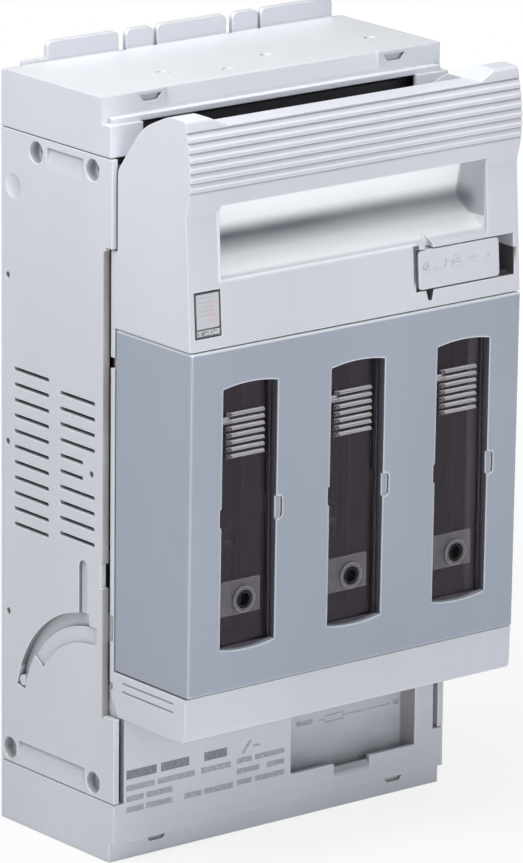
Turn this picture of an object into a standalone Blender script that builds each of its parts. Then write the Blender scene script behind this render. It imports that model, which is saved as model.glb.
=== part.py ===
"""Three-pole fuse switch disconnector with a swing-out lid, modelled as separate pieces.

Sizes are millimetres, turned into metres by MM when a mesh is made. The back face lies on Y = 0 and the
front looks along -Y. Heights below count from the lowest face. Each finished piece is lowered by half the
height, so that the origin is the centre of the back face. A pair of numbers is a low and a high limit.
"""
import math

import bmesh
import bpy
from mathutils import Matrix, Vector

MM = 0.001

# Driving sizes
WIDTH = 106.0                # across the side walls
HEIGHT = 194.0               # bottom face to top face, without the tabs behind
POLE_COUNT = 3
POLE_PITCH = (WIDTH - 5.2) / POLE_COUNT  # centre distance of the poles and their windows
GAP = 0.3                    # clearance between pieces that rest on or fit each other
WALL = 1.6                   # moulded wall

# Base
BACK_WALL = 3.0
LOWER_SEAM = 15.3            # height of the lower cover's side walls
UPPER_SEAM = HEIGHT - 14.5   # underside of the upper cover
PARTITION_DEPTH = 37.5       # front edges of the inner block's partitions
SIDE_FRONT_MIDDLE = PARTITION_DEPTH + 4.8  # side wall depth beside the lid
SIDE_FRONT_UPPER = SIDE_FRONT_MIDDLE + 2.9  # side wall depth above the step
SIDE_STEP = HEIGHT - 37.0
LOWER_FRONT = SIDE_FRONT_MIDDLE + 4.4  # depth of the lower front plate and of the side walls beside it
LOWER_FRONT_TOP = LOWER_SEAM + 22.3

# Lid swing
HINGE_DEPTH = 38.0
HINGE_HEIGHT = 30.0
HINGE_STUB_RADIUS = 2.4
HINGE_PLAY = 0.15
PEG_PATH_RADIUS = 30.6
PEG_RADIUS = 1.4
PEG_REST_ANGLE = 15.5        # above the horizontal, lid closed
LID_OPEN_ANGLE = 68.0
ARM_THICKNESS = 1.2
ARM_LANE = 2.0               # free space between a side wall and the inner block

# Lid
LID_WIDTH = WIDTH - 2.3
LID_BACK = SIDE_FRONT_MIDDLE + 1.1
LID_BACK_UPPER = SIDE_FRONT_UPPER + 0.7
LID_BOTTOM = 38.2
COVER_BOTTOM = 49.5
COVER_TOP = HEIGHT - 56.9
COVER_WIDTH = LID_WIDTH - 0.3
COVER_PROUD = 0.6            # how far the cover's front stands before the lid's own
FRONT_AT_COVER_TOP = 74.8
FRONT_AT_COVER_BOTTOM = 74.0
FRONT_AT_LIP = 72.7
LIP_HEIGHT = HEIGHT - 24.0
COVER_WALL = 2.0

# Windows
WINDOW_WIDTH = 16.9
WINDOW_BOTTOM = COVER_BOTTOM + 11.2
WINDOW_TOP = COVER_TOP - 10.5
WINDOW_BULGE = 0.9
PANE_THICKNESS = 1.0
PANE_WIDTH = WINDOW_WIDTH + 2.3
PANE_BOTTOM = WINDOW_BOTTOM - 2.7
PANE_TOP = WINDOW_TOP + 3.4
PANE_TRAVEL = 6.0
FINGER_NOTCH_DEPTH = 0.7
FINGER_NOTCH_HALF = 3.0
SMALL_NOTCH_HALF = 2.4

# Contacts
JAW_FROM_TOP = 68.0
JAW_FROM_BOTTOM = 62.0
JAW_WIDTH = 15.0
JAW_OPENING = 6.2
LEAF_THICKNESS = 1.5
STRIP_BACK = 14.0
STRIP_THICKNESS = 2.5
STRIP_WIDTH = 17.0
JAW_FRONT = 36.0
TERMINAL_FROM_END = 27.5       # bolt centre from the nearer end of the base
BOLT_RADIUS = 3.9
BOLT_HEAD_RADIUS = 7.5
BOLT_HEAD_HEIGHT = 5.3
BOLT_FLANGE_RADIUS = 8.2
BOLT_FLANGE_THICKNESS = 1.6
SPRING_THICKNESS = 1.0
SPRING_WIDTH = 6.0

LIGHT_GREY = (0.66, 0.68, 0.72, 1.0)
BLUE_GREY = (0.34, 0.38, 0.44, 1.0)
BLACK = (0.025, 0.022, 0.024, 1.0)
SILVERED = (0.78, 0.76, 0.72, 1.0)
STEEL = (0.55, 0.56, 0.58, 1.0)
CLEAR = (0.80, 0.83, 0.87, 1.0)

HALF = WIDTH / 2
INNER_HALF = HALF - WALL
BLOCK_HALF = INNER_HALF - ARM_LANE
LID_HALF = LID_WIDTH / 2
COVER_HALF = COVER_WIDTH / 2
TERMINAL_HEIGHTS = {"upper": HEIGHT - TERMINAL_FROM_END, "lower": TERMINAL_FROM_END}
JAW_HEIGHTS = {"upper": HEIGHT - JAW_FROM_TOP, "lower": JAW_FROM_BOTTOM}


def pole_centres():
    middle = (POLE_COUNT - 1) / 2
    return [(index - middle) * POLE_PITCH for index in range(POLE_COUNT)]


def clear_scene():
    for item in list(bpy.data.objects):
        bpy.data.objects.remove(item, do_unlink=True)


def make_material(name, colour, roughness, metallic=0.0, transmission=0.0):
    material = bpy.data.materials.new(name)
    material.use_nodes = True
    shader = material.node_tree.nodes["Principled BSDF"]
    shader.inputs["Base Color"].default_value = colour
    shader.inputs["Roughness"].default_value = roughness
    shader.inputs["Metallic"].default_value = metallic
    shader.inputs["Transmission Weight"].default_value = transmission
    return material


def link_mesh(bm, name="shape"):
    mesh = bpy.data.meshes.new(name)
    bm.to_mesh(mesh)
    bm.free()
    shape = bpy.data.objects.new(name, mesh)
    bpy.context.scene.collection.objects.link(shape)
    return shape


def prism(axis, span, outline):
    """Closed prism: the outline holds the other two axes' values, in X, Y, Z order."""
    slot = "XYZ".index(axis)
    bm = bmesh.new()
    rings = []
    for along in span:
        ring = []
        for first, second in outline:
            point = [first, second]
            point.insert(slot, along)
            ring.append(bm.verts.new([value * MM for value in point]))
        rings.append(ring)
    for ring in rings:
        bm.faces.new(ring)
    count = len(outline)
    for index in range(count):
        following = (index + 1) % count
        bm.faces.new((rings[0][index], rings[0][following], rings[1][following], rings[1][index]))
    bmesh.ops.recalc_face_normals(bm, faces=bm.faces)
    return link_mesh(bm)


def block(x, y, z):
    return prism("Z", z, [(x[0], y[0]), (x[1], y[0]), (x[1], y[1]), (x[0], y[1])])


def circle(centre, radius, steps=24, start=0.0):
    return [
        (centre[0] + radius * math.cos(start + math.tau * step / steps),
         centre[1] + radius * math.sin(start + math.tau * step / steps))
        for step in range(steps)
    ]


def arc(centre, radius, first, last, steps):
    """Points along an arc between two angles in degrees."""
    angles = [math.radians(first + (last - first) * step / steps) for step in range(steps + 1)]
    return [(centre[0] + radius * math.cos(angle), centre[1] + radius * math.sin(angle)) for angle in angles]


def rounded(corners, steps=4):
    """Outline from (a, b, radius) corners, each rounded by a curve that touches both sides."""
    outline = []
    count = len(corners)
    for index, (first, second, radius) in enumerate(corners):
        if radius <= 0:
            outline.append((first, second))
            continue
        before = corners[index - 1]
        after = corners[(index + 1) % count]
        to_before = (before[0] - first, before[1] - second)
        to_after = (after[0] - first, after[1] - second)
        length_before = math.hypot(*to_before)
        length_after = math.hypot(*to_after)
        unit_before = (to_before[0] / length_before, to_before[1] / length_before)
        unit_after = (to_after[0] / length_after, to_after[1] / length_after)
        cosine = unit_before[0] * unit_after[0] + unit_before[1] * unit_after[1]
        half_angle = math.acos(max(-1.0, min(1.0, cosine))) / 2
        reach = min(radius / math.tan(half_angle), 0.49 * min(length_before, length_after))
        for step in range(steps + 1):
            near = (1 - step / steps) ** 2
            far = (step / steps) ** 2
            outline.append((first + reach * (near * unit_before[0] + far * unit_after[0]),
                            second + reach * (near * unit_before[1] + far * unit_after[1])))
    return outline


def rectangle(first, second, radius=0.0, steps=3):
    return rounded([
        (first[0], second[0], radius), (first[1], second[0], radius),
        (first[1], second[1], radius), (first[0], second[1], radius),
    ], steps)


def capsule(start, end, radius, steps=8):
    """Outline of a bar with round ends between two points."""
    heading = math.degrees(math.atan2(end[1] - start[1], end[0] - start[0]))
    return (arc(start, radius, heading + 90, heading + 270, steps)
            + arc(end, radius, heading - 90, heading + 90, steps))


def join(shapes):
    """One object holding several shapes that don't touch, for use as a single cutter."""
    bm = bmesh.new()
    for shape in shapes:
        bm.from_mesh(shape.data)
        bpy.data.objects.remove(shape, do_unlink=True)
    return link_mesh(bm)


def bake(shape):
    graph = bpy.context.evaluated_depsgraph_get()
    mesh = bpy.data.meshes.new_from_object(shape.evaluated_get(graph))
    shape.modifiers.clear()
    shape.data = mesh


def combine(shape, others, operation):
    for other in others:
        modifier = shape.modifiers.new("combine", "BOOLEAN")
        modifier.operation = operation
        modifier.solver = "EXACT"
        modifier.object = other
        bake(shape)
        bpy.data.objects.remove(other, do_unlink=True)
    return shape


def fuse(shape, *others):
    return combine(shape, others, "UNION")


def cut(shape, *others):
    return combine(shape, others, "DIFFERENCE")


def soften(shape, width, segments=2, angle=50.0):
    """Round the sharp edges of a simple solid before it is cut."""
    modifier = shape.modifiers.new("soften", "BEVEL")
    modifier.width = width * MM
    modifier.segments = segments
    modifier.limit_method = "ANGLE"
    modifier.angle_limit = math.radians(angle)
    bake(shape)
    return shape


def world_point(x, y, height):
    """A point given with its height above the lowest face, in metres from the frame's origin."""
    return Vector((x, y, height - HEIGHT / 2)) * MM


def finish(shape, name, material, origin=(0.0, 0.0, HEIGHT / 2), parent=None):
    """Name a piece, give it its material and put its origin at a point in millimetres."""
    mesh = shape.data
    mesh.transform(Matrix.Translation(Vector(origin) * -MM))
    shape.location = world_point(*origin)
    shape.name = name
    mesh.materials.clear()
    mesh.materials.append(material)
    mesh.shade_smooth()
    mesh.set_sharp_from_angle(angle=math.radians(35))
    weighted = shape.modifiers.new("weighted", "WEIGHTED_NORMAL")
    weighted.keep_sharp = True
    bake(shape)
    shape.data.name = name
    if parent is not None:
        shape.parent = parent
        shape.location -= parent.location
    return shape


def both_sides(maker):
    """Cutters or bosses made for the right side and for the left side."""
    return join([maker(1), maker(-1)])


def side_span(side, inner, outer):
    return (inner, outer) if side > 0 else (-outer, -inner)


# Base housing: two side walls on a back wall
VENT_HEIGHT = 1.0
VENT_ROUNDING = 0.4
VENT_PITCH = 4.0
VENT_TOP = 118.6
VENT_BACK_COLUMN = (-19.7, -5.2)
VENT_FRONT_COLUMN = (-38.5, -24.1)
VENT_SHORT_END = -33.7
VENT_FRONT_DROP = 2.0
VENT_BACK_COUNT = 11
VENT_FRONT_COUNT = 10
VENT_SHORT_ROWS = (4, 5)
SOCKET_RADIUS = 2.8
SOCKET_DEPTH = 2.6
SOCKET_BOSS_RADIUS = 3.4
SOCKET_PLACES = ((-14.3, HEIGHT - 18.7), (-37.2, HEIGHT - 18.7), (-3.5, 19.2), (-38.2, 19.2))
CHANNEL_UPPER = ((-33.4, -18.6), (HEIGHT - 22.6, HEIGHT - 16.7))
CHANNEL_LOWER = ((-34.6, -7.0), (16.0, 22.0))
CHANNEL_DEPTH = 1.1
SMALL_HOLE_RADIUS = 0.9
SMALL_HOLE_PLACES = ((-2.6, HEIGHT - 52.0), (-2.6, 99.2), (-37.1, 98.5), (-2.9, 55.1))
DIMPLE_RADIUS = 3.3
DIMPLE_DEPTH = 1.0
DIMPLE_PLACE = (-4.9, HEIGHT - 29.0)
GUIDE_GROOVE = (-35.5, -32.2)
GUIDE_GROOVE_TOP = HINGE_HEIGHT + 45.7
EDGE_NOTCH_DEPTHS = (-SIDE_FRONT_MIDDLE - 1.0, -SIDE_FRONT_MIDDLE + 1.2)
EDGE_NOTCH_HEIGHTS = (HINGE_HEIGHT + 40.3, HINGE_HEIGHT + 46.8)
ARC_SLOT_PLAY = 0.3
ARC_STEP_WIDTH = 4.1
MOUNT_HOLE_RADIUS = 2.75
MOUNT_HOLE_SPACING = 140.0


def vent_slots(side):
    slots = []
    span = side_span(side, INNER_HALF - 1, HALF + 1)
    for row in range(VENT_BACK_COUNT):
        height = VENT_TOP - row * VENT_PITCH
        limits = (height - VENT_HEIGHT / 2, height + VENT_HEIGHT / 2)
        slots.append(prism("X", span, rectangle(VENT_BACK_COLUMN, limits, VENT_ROUNDING, 2)))
    for row in range(VENT_FRONT_COUNT):
        height = VENT_TOP - VENT_FRONT_DROP - row * VENT_PITCH
        limits = (height - VENT_HEIGHT / 2, height + VENT_HEIGHT / 2)
        front = VENT_SHORT_END if row in VENT_SHORT_ROWS else VENT_FRONT_COLUMN[0]
        slots.append(prism("X", span, rectangle((front, VENT_FRONT_COLUMN[1]), limits, VENT_ROUNDING, 2)))
    return join(slots)


def side_discs(places, radius, inner, outer, steps=16):
    shapes = []
    for side in (1, -1):
        for place in places:
            shapes.append(prism("X", side_span(side, inner, outer), circle(place, radius, steps)))
    return join(shapes)


def side_dimple(side):
    """Ball that leaves a shallow round hollow in the side wall."""
    ball_radius = (DIMPLE_RADIUS ** 2 + DIMPLE_DEPTH ** 2) / (2 * DIMPLE_DEPTH)
    bm = bmesh.new()
    bmesh.ops.create_uvsphere(bm, u_segments=24, v_segments=14, radius=ball_radius * MM)
    centre = Vector((side * (HALF + ball_radius - DIMPLE_DEPTH), *DIMPLE_PLACE)) * MM
    turn = Matrix.Rotation(math.pi / 2, 4, "Y")
    bmesh.ops.transform(bm, matrix=Matrix.Translation(centre) @ turn, verts=bm.verts)
    return link_mesh(bm)


def side_wedges(channel):
    """Shallow channel, deepest along its upper edge."""
    (front, back), (low, high) = channel
    shapes = []
    for side in (1, -1):
        surface = side * (HALF + 0.1)
        outline = [(surface, high), (side * (HALF - CHANNEL_DEPTH), high), (surface, low)]
        shapes.append(prism("Y", (front, back), outline))
    return join(shapes)


def swing_arc(inner_radius, outer_radius, first, last, steps=20):
    """Ring sector around the lid's hinge axis, angles above the horizontal towards the back."""
    centre = (-HINGE_DEPTH, HINGE_HEIGHT)
    return arc(centre, outer_radius, first, last, steps) + arc(centre, inner_radius, last, first, steps)


def make_base_housing(material):
    top = UPPER_SEAM - GAP
    bottom = LOWER_SEAM + GAP
    profile = [
        (0, bottom), (-LOWER_FRONT, bottom), (-LOWER_FRONT, LOWER_FRONT_TOP),
        (-SIDE_FRONT_MIDDLE, LOWER_FRONT_TOP), (-SIDE_FRONT_MIDDLE, SIDE_STEP),
        (-SIDE_FRONT_UPPER, SIDE_STEP), (-SIDE_FRONT_UPPER, top), (0, top),
    ]
    shape = prism("X", (-HALF, HALF), profile)
    cut(shape, block((-INNER_HALF, INNER_HALF), (-LOWER_FRONT - 1, -BACK_WALL), (bottom - 1, top + 1)))
    boss_inside = BLOCK_HALF + GAP
    fuse(shape, side_discs(SOCKET_PLACES, SOCKET_BOSS_RADIUS, boss_inside, INNER_HALF + 0.5))
    hinge = (-HINGE_DEPTH, HINGE_HEIGHT)
    fuse(shape, side_discs([hinge], HINGE_STUB_RADIUS, boss_inside, INNER_HALF + 0.5, 24))
    cut(shape, side_wedges(CHANNEL_UPPER), side_wedges(CHANNEL_LOWER))
    cut(shape, side_discs(SOCKET_PLACES, SOCKET_RADIUS, HALF - SOCKET_DEPTH, HALF + 1))
    cut(shape, side_discs(SOCKET_PLACES, SOCKET_RADIUS * 0.5, boss_inside - 1, HALF, 12))
    cut(shape, side_discs(SMALL_HOLE_PLACES, SMALL_HOLE_RADIUS, HALF - 1.1, HALF + 1, 10))
    cut(shape, both_sides(side_dimple))
    cut(shape, both_sides(vent_slots))

    slot_inner = PEG_PATH_RADIUS - PEG_RADIUS - ARC_SLOT_PLAY
    slot_outer = PEG_PATH_RADIUS + PEG_RADIUS + ARC_SLOT_PLAY
    first = PEG_REST_ANGLE - 3.2
    last = PEG_REST_ANGLE + LID_OPEN_ANGLE + 3.5
    groove_low = HINGE_HEIGHT + slot_inner
    groove_middle = sum(GUIDE_GROOVE) / 2
    groove_radius = (GUIDE_GROOVE[1] - GUIDE_GROOVE[0]) / 2
    groove = [(GUIDE_GROOVE[1], groove_low), *arc((groove_middle, GUIDE_GROOVE_TOP - groove_radius),
              groove_radius, 0, 180, 8), (GUIDE_GROOVE[0], groove_low)]
    step = swing_arc(slot_inner - ARC_STEP_WIDTH, slot_inner + 0.5, first + 22, last + 6)
    slot = swing_arc(slot_inner, slot_outer, first, last)
    for depth, outline in ((1.0, groove), (0.7, step), (WALL + 1, slot)):
        cut(shape, both_sides(lambda side: prism("X", side_span(side, HALF - depth, HALF + 1), outline)))
    cut(shape, both_sides(lambda side: block(side_span(side, INNER_HALF - 0.5, HALF + 0.5), EDGE_NOTCH_DEPTHS,
                                             EDGE_NOTCH_HEIGHTS)))
    cut(shape, mount_holes())
    return finish(shape, "base_housing", material)


def mount_holes():
    """Four screw holes between the poles, through the back wall and the inner block."""
    holes = []
    middle = HEIGHT / 2
    for x in (-POLE_PITCH / 2, POLE_PITCH / 2):
        for z in (middle - MOUNT_HOLE_SPACING / 2, middle + MOUNT_HOLE_SPACING / 2):
            holes.append(prism("Y", (-15, 1), circle((x, z), MOUNT_HOLE_RADIUS, 16)))
    return join(holes)


# Terminal covers
END_COVER_WALL = 1.8
UPPER_BAND_DEPTH = SIDE_FRONT_MIDDLE - 1.3
UPPER_FLANGE = (HEIGHT - 6.6, HEIGHT - 5.2)
UPPER_FLANGE_DEPTH = UPPER_BAND_DEPTH + 2.4
UPPER_FLANGE_HALF = HALF - 1.8
POST_DEPTH = UPPER_BAND_DEPTH + 3.4
POST_WIDTH = 9.9
POST_SIDE_WALL = 2.6
TAB_HEIGHT = 5.0
TAB_THICKNESS = 1.5
TAB_ROUNDING = 1.6
TAB_SHARES = ((-0.377, -0.170), (-0.147, -0.068), (-0.056, 0.150), (0.170, 0.246), (0.255, 0.472))
TAB_SPANS = [(first * WIDTH, second * WIDTH) for first, second in TAB_SHARES]
LEDGE_LEFT = -HALF + 5.7       # low step that runs up to the first tab
LEDGE_HEIGHT = 0.9
RECESS_SPAN = (HALF - 18.2, HALF - 11.4)
RECESS_HEIGHT = 1.7
RECESS_DEPTH = 1.2
KNOCKOUT_RADIUS = 1.7
KNOCKOUT_PLACES = ((-24.0, -27.4), (-8.8, -34.2), (8.6, -27.3), (42.4, -26.7))
LOWER_BAND_TOP = 5.0
LOWER_BAND_DEPTH = LOWER_FRONT - 1.8
LABEL_SPAN = (3.1, HALF - 9.2)
LABEL_HEIGHTS = (12.3, LOWER_FRONT_TOP - 3.5)
LABEL_FLOOR = LOWER_FRONT - 5.9
LABEL_RIM = 1.5              # thickness of the rim that holds a label card in its pocket
LABEL_POCKET_BOTTOM = 6.5
NOTCH_SPAN = (17.2, 29.0)
NOTCH_BOTTOM = 8.6


def band_recesses(depth, high):
    """Pair of small trapezoid recesses in the front of an end cover."""
    shapes = []
    narrow = 1.3
    for side in (1, -1):
        outline = [
            (side * RECESS_SPAN[0], high), (side * RECESS_SPAN[1], high),
            (side * (RECESS_SPAN[1] - narrow), high - RECESS_HEIGHT),
            (side * (RECESS_SPAN[0] + narrow), high - RECESS_HEIGHT),
        ]
        shapes.append(prism("Y", (-depth - 1, -depth + RECESS_DEPTH), outline))
    return join(shapes)


def make_upper_cover(material):
    profile = [
        (0, UPPER_SEAM), (-POST_DEPTH, UPPER_SEAM), (-POST_DEPTH, UPPER_FLANGE[0]),
        (-UPPER_FLANGE_DEPTH, UPPER_FLANGE[0]), (-UPPER_FLANGE_DEPTH, UPPER_FLANGE[1]),
        (-UPPER_BAND_DEPTH, UPPER_FLANGE[1]), (-UPPER_BAND_DEPTH, HEIGHT), (-TAB_THICKNESS, HEIGHT),
        (-TAB_THICKNESS, HEIGHT + TAB_HEIGHT), (0, HEIGHT + TAB_HEIGHT),
    ]
    shape = prism("X", (-HALF, HALF), profile)
    inside = HALF - END_COVER_WALL
    cut(shape, block((-inside, inside), (END_COVER_WALL - UPPER_BAND_DEPTH, -END_COVER_WALL),
                     (UPPER_SEAM - 1, HEIGHT - END_COVER_WALL)))
    post_inner = HALF - POST_WIDTH
    cut(shape, block((-post_inner, post_inner), (-POST_DEPTH - 1, END_COVER_WALL - UPPER_BAND_DEPTH + 0.1),
                     (UPPER_SEAM - 1, UPPER_FLANGE[0])))
    cut(shape, both_sides(lambda side: block(side_span(side, UPPER_FLANGE_HALF, HALF + 1),
                                             (-UPPER_FLANGE_DEPTH - 0.1, -UPPER_BAND_DEPTH), UPPER_FLANGE)))
    post_outer = HALF - POST_SIDE_WALL
    post_hollow = (END_COVER_WALL - POST_DEPTH, END_COVER_WALL - UPPER_BAND_DEPTH + 0.1)
    cut(shape, block((-post_outer, post_outer), post_hollow, (UPPER_SEAM - 1, UPPER_FLANGE[0])))
    slope_half = RECESS_SPAN[0] - 1.5
    slope = [(-UPPER_BAND_DEPTH + 1.0, HEIGHT + 0.1), (-UPPER_BAND_DEPTH - 0.1, HEIGHT + 0.1),
             (-UPPER_BAND_DEPTH - 0.1, UPPER_FLANGE[1] + 0.6)]
    cut(shape, prism("X", (-slope_half, slope_half), slope))
    cut(shape, band_recesses(UPPER_BAND_DEPTH, HEIGHT - 1.0))
    marks = [circle(place, KNOCKOUT_RADIUS, 12) for place in KNOCKOUT_PLACES]
    cut(shape, join([prism("Z", (HEIGHT - 0.35, HEIGHT + 1), mark) for mark in marks]))
    gap_depths = (-TAB_THICKNESS - 0.3, 1)
    edges = [-HALF - 3, *[edge for span in TAB_SPANS for edge in span], HALF + 3]
    for left, right in zip(edges[::2], edges[1::2]):
        cut(shape, prism("Y", gap_depths, tab_gap(left, right)))
    return finish(shape, "upper_terminal_cover", material)


def tab_gap(left, right):
    """Space between two tabs, wider at the top by their rounded corners."""
    top = HEIGHT + TAB_HEIGHT
    bottom = HEIGHT - 0.4
    radius = TAB_ROUNDING
    lowest = [(left, bottom), (right, bottom)] if left > -HALF else [
        (left, bottom), (LEDGE_LEFT, bottom), (LEDGE_LEFT, HEIGHT + LEDGE_HEIGHT),
        (right, HEIGHT + LEDGE_HEIGHT)]
    return (lowest + arc((right + radius, top - radius), radius, 180, 90, 4)
            + [(right + radius, top + 1), (left - radius, top + 1)]
            + arc((left - radius, top - radius), radius, 90, 0, 4))


def make_lower_cover(material):
    shape = block((-HALF, HALF), (-LOWER_FRONT, 0), (0, LOWER_SEAM))
    cut(shape, block((-HALF - 1, HALF + 1), (-LOWER_FRONT - 1, -LOWER_BAND_DEPTH), (-1, LOWER_BAND_TOP)))
    inside = HALF - END_COVER_WALL
    cut(shape, block((-inside, inside), (-LOWER_BAND_DEPTH + END_COVER_WALL, -END_COVER_WALL),
                     (END_COVER_WALL, LOWER_SEAM + 1)))
    plate_half = BLOCK_HALF + GAP
    plate_heights = (LOWER_BAND_TOP, LOWER_FRONT_TOP)
    fuse(shape, block((-plate_half, plate_half), (-LOWER_FRONT, -LOWER_BAND_DEPTH), plate_heights))
    tray = 1.5
    fuse(shape, block((LABEL_SPAN[0] - tray, LABEL_SPAN[1] + tray),
                      (-LOWER_BAND_DEPTH - 0.5, -LABEL_FLOOR + tray),
                      (LABEL_POCKET_BOTTOM - tray, LABEL_HEIGHTS[1] + tray)))
    behind_rim = -LOWER_FRONT + LABEL_RIM
    before = -LOWER_FRONT - 1
    low, high = LABEL_HEIGHTS
    cut(shape, prism("X", LABEL_SPAN, [
        (-LABEL_FLOOR, LABEL_POCKET_BOTTOM), (-LABEL_FLOOR, high), (before, high),
        (before, low), (behind_rim, low), (behind_rim, LABEL_POCKET_BOTTOM),
    ]))
    cut(shape, prism("X", NOTCH_SPAN, [
        (before, NOTCH_BOTTOM), (-LOWER_FRONT, NOTCH_BOTTOM), (behind_rim + 0.2, low - 0.8),
        (behind_rim + 0.2, low + 0.5), (before, low + 0.5),
    ]))
    cut(shape, band_recesses(LOWER_BAND_DEPTH, LOWER_BAND_TOP - 0.2))
    return finish(shape, "lower_terminal_cover", material)


# Inner block that carries the contacts
BLOCK_PLATE = 4.0
PARTITION_THICKNESS = 2.0
PARTITION_SPAN = (TERMINAL_FROM_END + 8.5, HEIGHT - TERMINAL_FROM_END - 8.5)
PEDESTAL_WIDTH = STRIP_WIDTH + 2.0
PEDESTAL_HEIGHT = 22.0
NUT_SIZE = 13.0
NUT_HEIGHT = 5.8
CROSS_BAR_DEPTHS = (PARTITION_DEPTH + 1.4, PARTITION_DEPTH - 0.5)
CROSS_BAR_HEIGHTS = (UPPER_SEAM - 3.5, UPPER_FLANGE[0] - 1.8)


def make_inner_block(material):
    back = -BACK_WALL - GAP
    front_of_plate = back - BLOCK_PLATE
    bottom = LOWER_SEAM + GAP
    top = UPPER_SEAM - GAP
    shape = block((-BLOCK_HALF, BLOCK_HALF), (front_of_plate, back), (bottom, top))
    seat = -STRIP_BACK + GAP
    for side in (1, -1):
        span = side_span(side, BLOCK_HALF - WALL, BLOCK_HALF)
        fuse(shape, block(span, (-PARTITION_DEPTH, back), (bottom, top)))
    bar_depths = (-CROSS_BAR_DEPTHS[0], -CROSS_BAR_DEPTHS[1])
    fuse(shape, block((-BLOCK_HALF, BLOCK_HALF), bar_depths, CROSS_BAR_HEIGHTS))
    centres = pole_centres()
    for first, second in zip(centres, centres[1:]):
        middle = (first + second) / 2
        span = (middle - PARTITION_THICKNESS / 2, middle + PARTITION_THICKNESS / 2)
        fuse(shape, block(span, (-PARTITION_DEPTH, front_of_plate + 0.5), PARTITION_SPAN))
    for centre in centres:
        for level in ("upper", "lower"):
            terminal = TERMINAL_HEIGHTS[level]
            jaw = JAW_HEIGHTS[level]
            fuse(shape, block((centre - PEDESTAL_WIDTH / 2, centre + PEDESTAL_WIDTH / 2),
                              (seat, front_of_plate + 0.5),
                              (terminal - PEDESTAL_HEIGHT / 2, terminal + PEDESTAL_HEIGHT / 2)))
            fuse(shape, block((centre - STRIP_WIDTH / 2, centre + STRIP_WIDTH / 2),
                              (seat, front_of_plate + 0.5),
                              (jaw - JAW_WIDTH / 2 - 1, jaw + JAW_WIDTH / 2 + 1)))
    pocket = NUT_SIZE / 2 + GAP
    pockets = []
    for centre in centres:
        for terminal in TERMINAL_HEIGHTS.values():
            pockets.append(block((centre - pocket, centre + pocket), (seat - 1, seat + NUT_HEIGHT + GAP),
                                 (terminal - pocket, terminal + pocket)))
    cut(shape, join(pockets))
    cut(shape, mount_holes())
    return finish(shape, "inner_block", material)


def make_contact(level, number, centre, material):
    """Terminal strip with a jaw of two sprung leaves whose tips flare outwards."""
    jaw = JAW_HEIGHTS[level]
    terminal = TERMINAL_HEIGHTS[level]
    toward_end = 1 if level == "upper" else -1
    ends = sorted((jaw - toward_end * JAW_WIDTH / 2, terminal + toward_end * PEDESTAL_HEIGHT / 2))
    front = -STRIP_BACK - STRIP_THICKNESS
    shape = block((centre - STRIP_WIDTH / 2, centre + STRIP_WIDTH / 2), (front, -STRIP_BACK), ends)
    inner = JAW_OPENING / 2
    outer = inner + LEAF_THICKNESS
    flare = 1.6
    flare_start = -JAW_FRONT + 4.0
    for side in (1, -1):
        outline = [
            (centre + side * inner, front + 0.5), (centre + side * outer, front + 0.5),
            (centre + side * outer, flare_start), (centre + side * (outer + flare), -JAW_FRONT),
            (centre + side * (inner + flare), -JAW_FRONT), (centre + side * inner, flare_start),
        ]
        fuse(shape, prism("Z", (jaw - JAW_WIDTH / 2, jaw + JAW_WIDTH / 2), outline))
    cut(shape, prism("Y", (front - 1, 0), circle((centre, terminal), BOLT_RADIUS + 0.5)))
    return finish(shape, f"{level}_contact_{number}", material)


def make_jaw_spring(level, number, centre, material):
    """Closed steel band around the two leaves of a jaw."""
    jaw = JAW_HEIGHTS[level]
    inside_x = JAW_OPENING / 2 + LEAF_THICKNESS + GAP
    inside_z = JAW_WIDTH / 2 + GAP
    outside_x = inside_x + SPRING_THICKNESS
    outside_z = inside_z + SPRING_THICKNESS
    middle = -(JAW_FRONT + STRIP_BACK) / 2
    depths = (middle - SPRING_WIDTH / 2, middle + SPRING_WIDTH / 2)
    outline = rectangle((centre - outside_x, centre + outside_x), (jaw - outside_z, jaw + outside_z), 1.6)
    shape = prism("Y", depths, outline)
    opening = rectangle((centre - inside_x, centre + inside_x), (jaw - inside_z, jaw + inside_z), 0.6)
    cut(shape, prism("Y", (depths[0] - 1, depths[1] + 1), opening))
    return finish(shape, f"{level}_jaw_spring_{number}", material)


def make_terminal_bolt(level, number, centre, material):
    terminal = (centre, TERMINAL_HEIGHTS[level])
    seat = -STRIP_BACK - STRIP_THICKNESS - GAP
    head_front = seat - BOLT_FLANGE_THICKNESS - BOLT_HEAD_HEIGHT
    shape = prism("Y", (seat - BOLT_FLANGE_THICKNESS, seat), circle(terminal, BOLT_FLANGE_RADIUS))
    fuse(shape, prism("Y", (head_front, seat - 0.5), circle(terminal, BOLT_HEAD_RADIUS, 6)))
    fuse(shape, prism("Y", (seat - 0.5, -STRIP_BACK + GAP + NUT_HEIGHT), circle(terminal, BOLT_RADIUS, 16)))
    return finish(shape, f"{level}_terminal_bolt_{number}", material)


def make_terminal_nut(level, number, centre, material):
    terminal = TERMINAL_HEIGHTS[level]
    half = NUT_SIZE / 2
    front = -STRIP_BACK + GAP
    back = front + NUT_HEIGHT
    shape = block((centre - half, centre + half), (front, back), (terminal - half, terminal + half))
    cut(shape, prism("Y", (front - 1, back + 1), circle((centre, terminal), BOLT_RADIUS + GAP, 16)))
    return finish(shape, f"{level}_terminal_nut_{number}", material)


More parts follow.
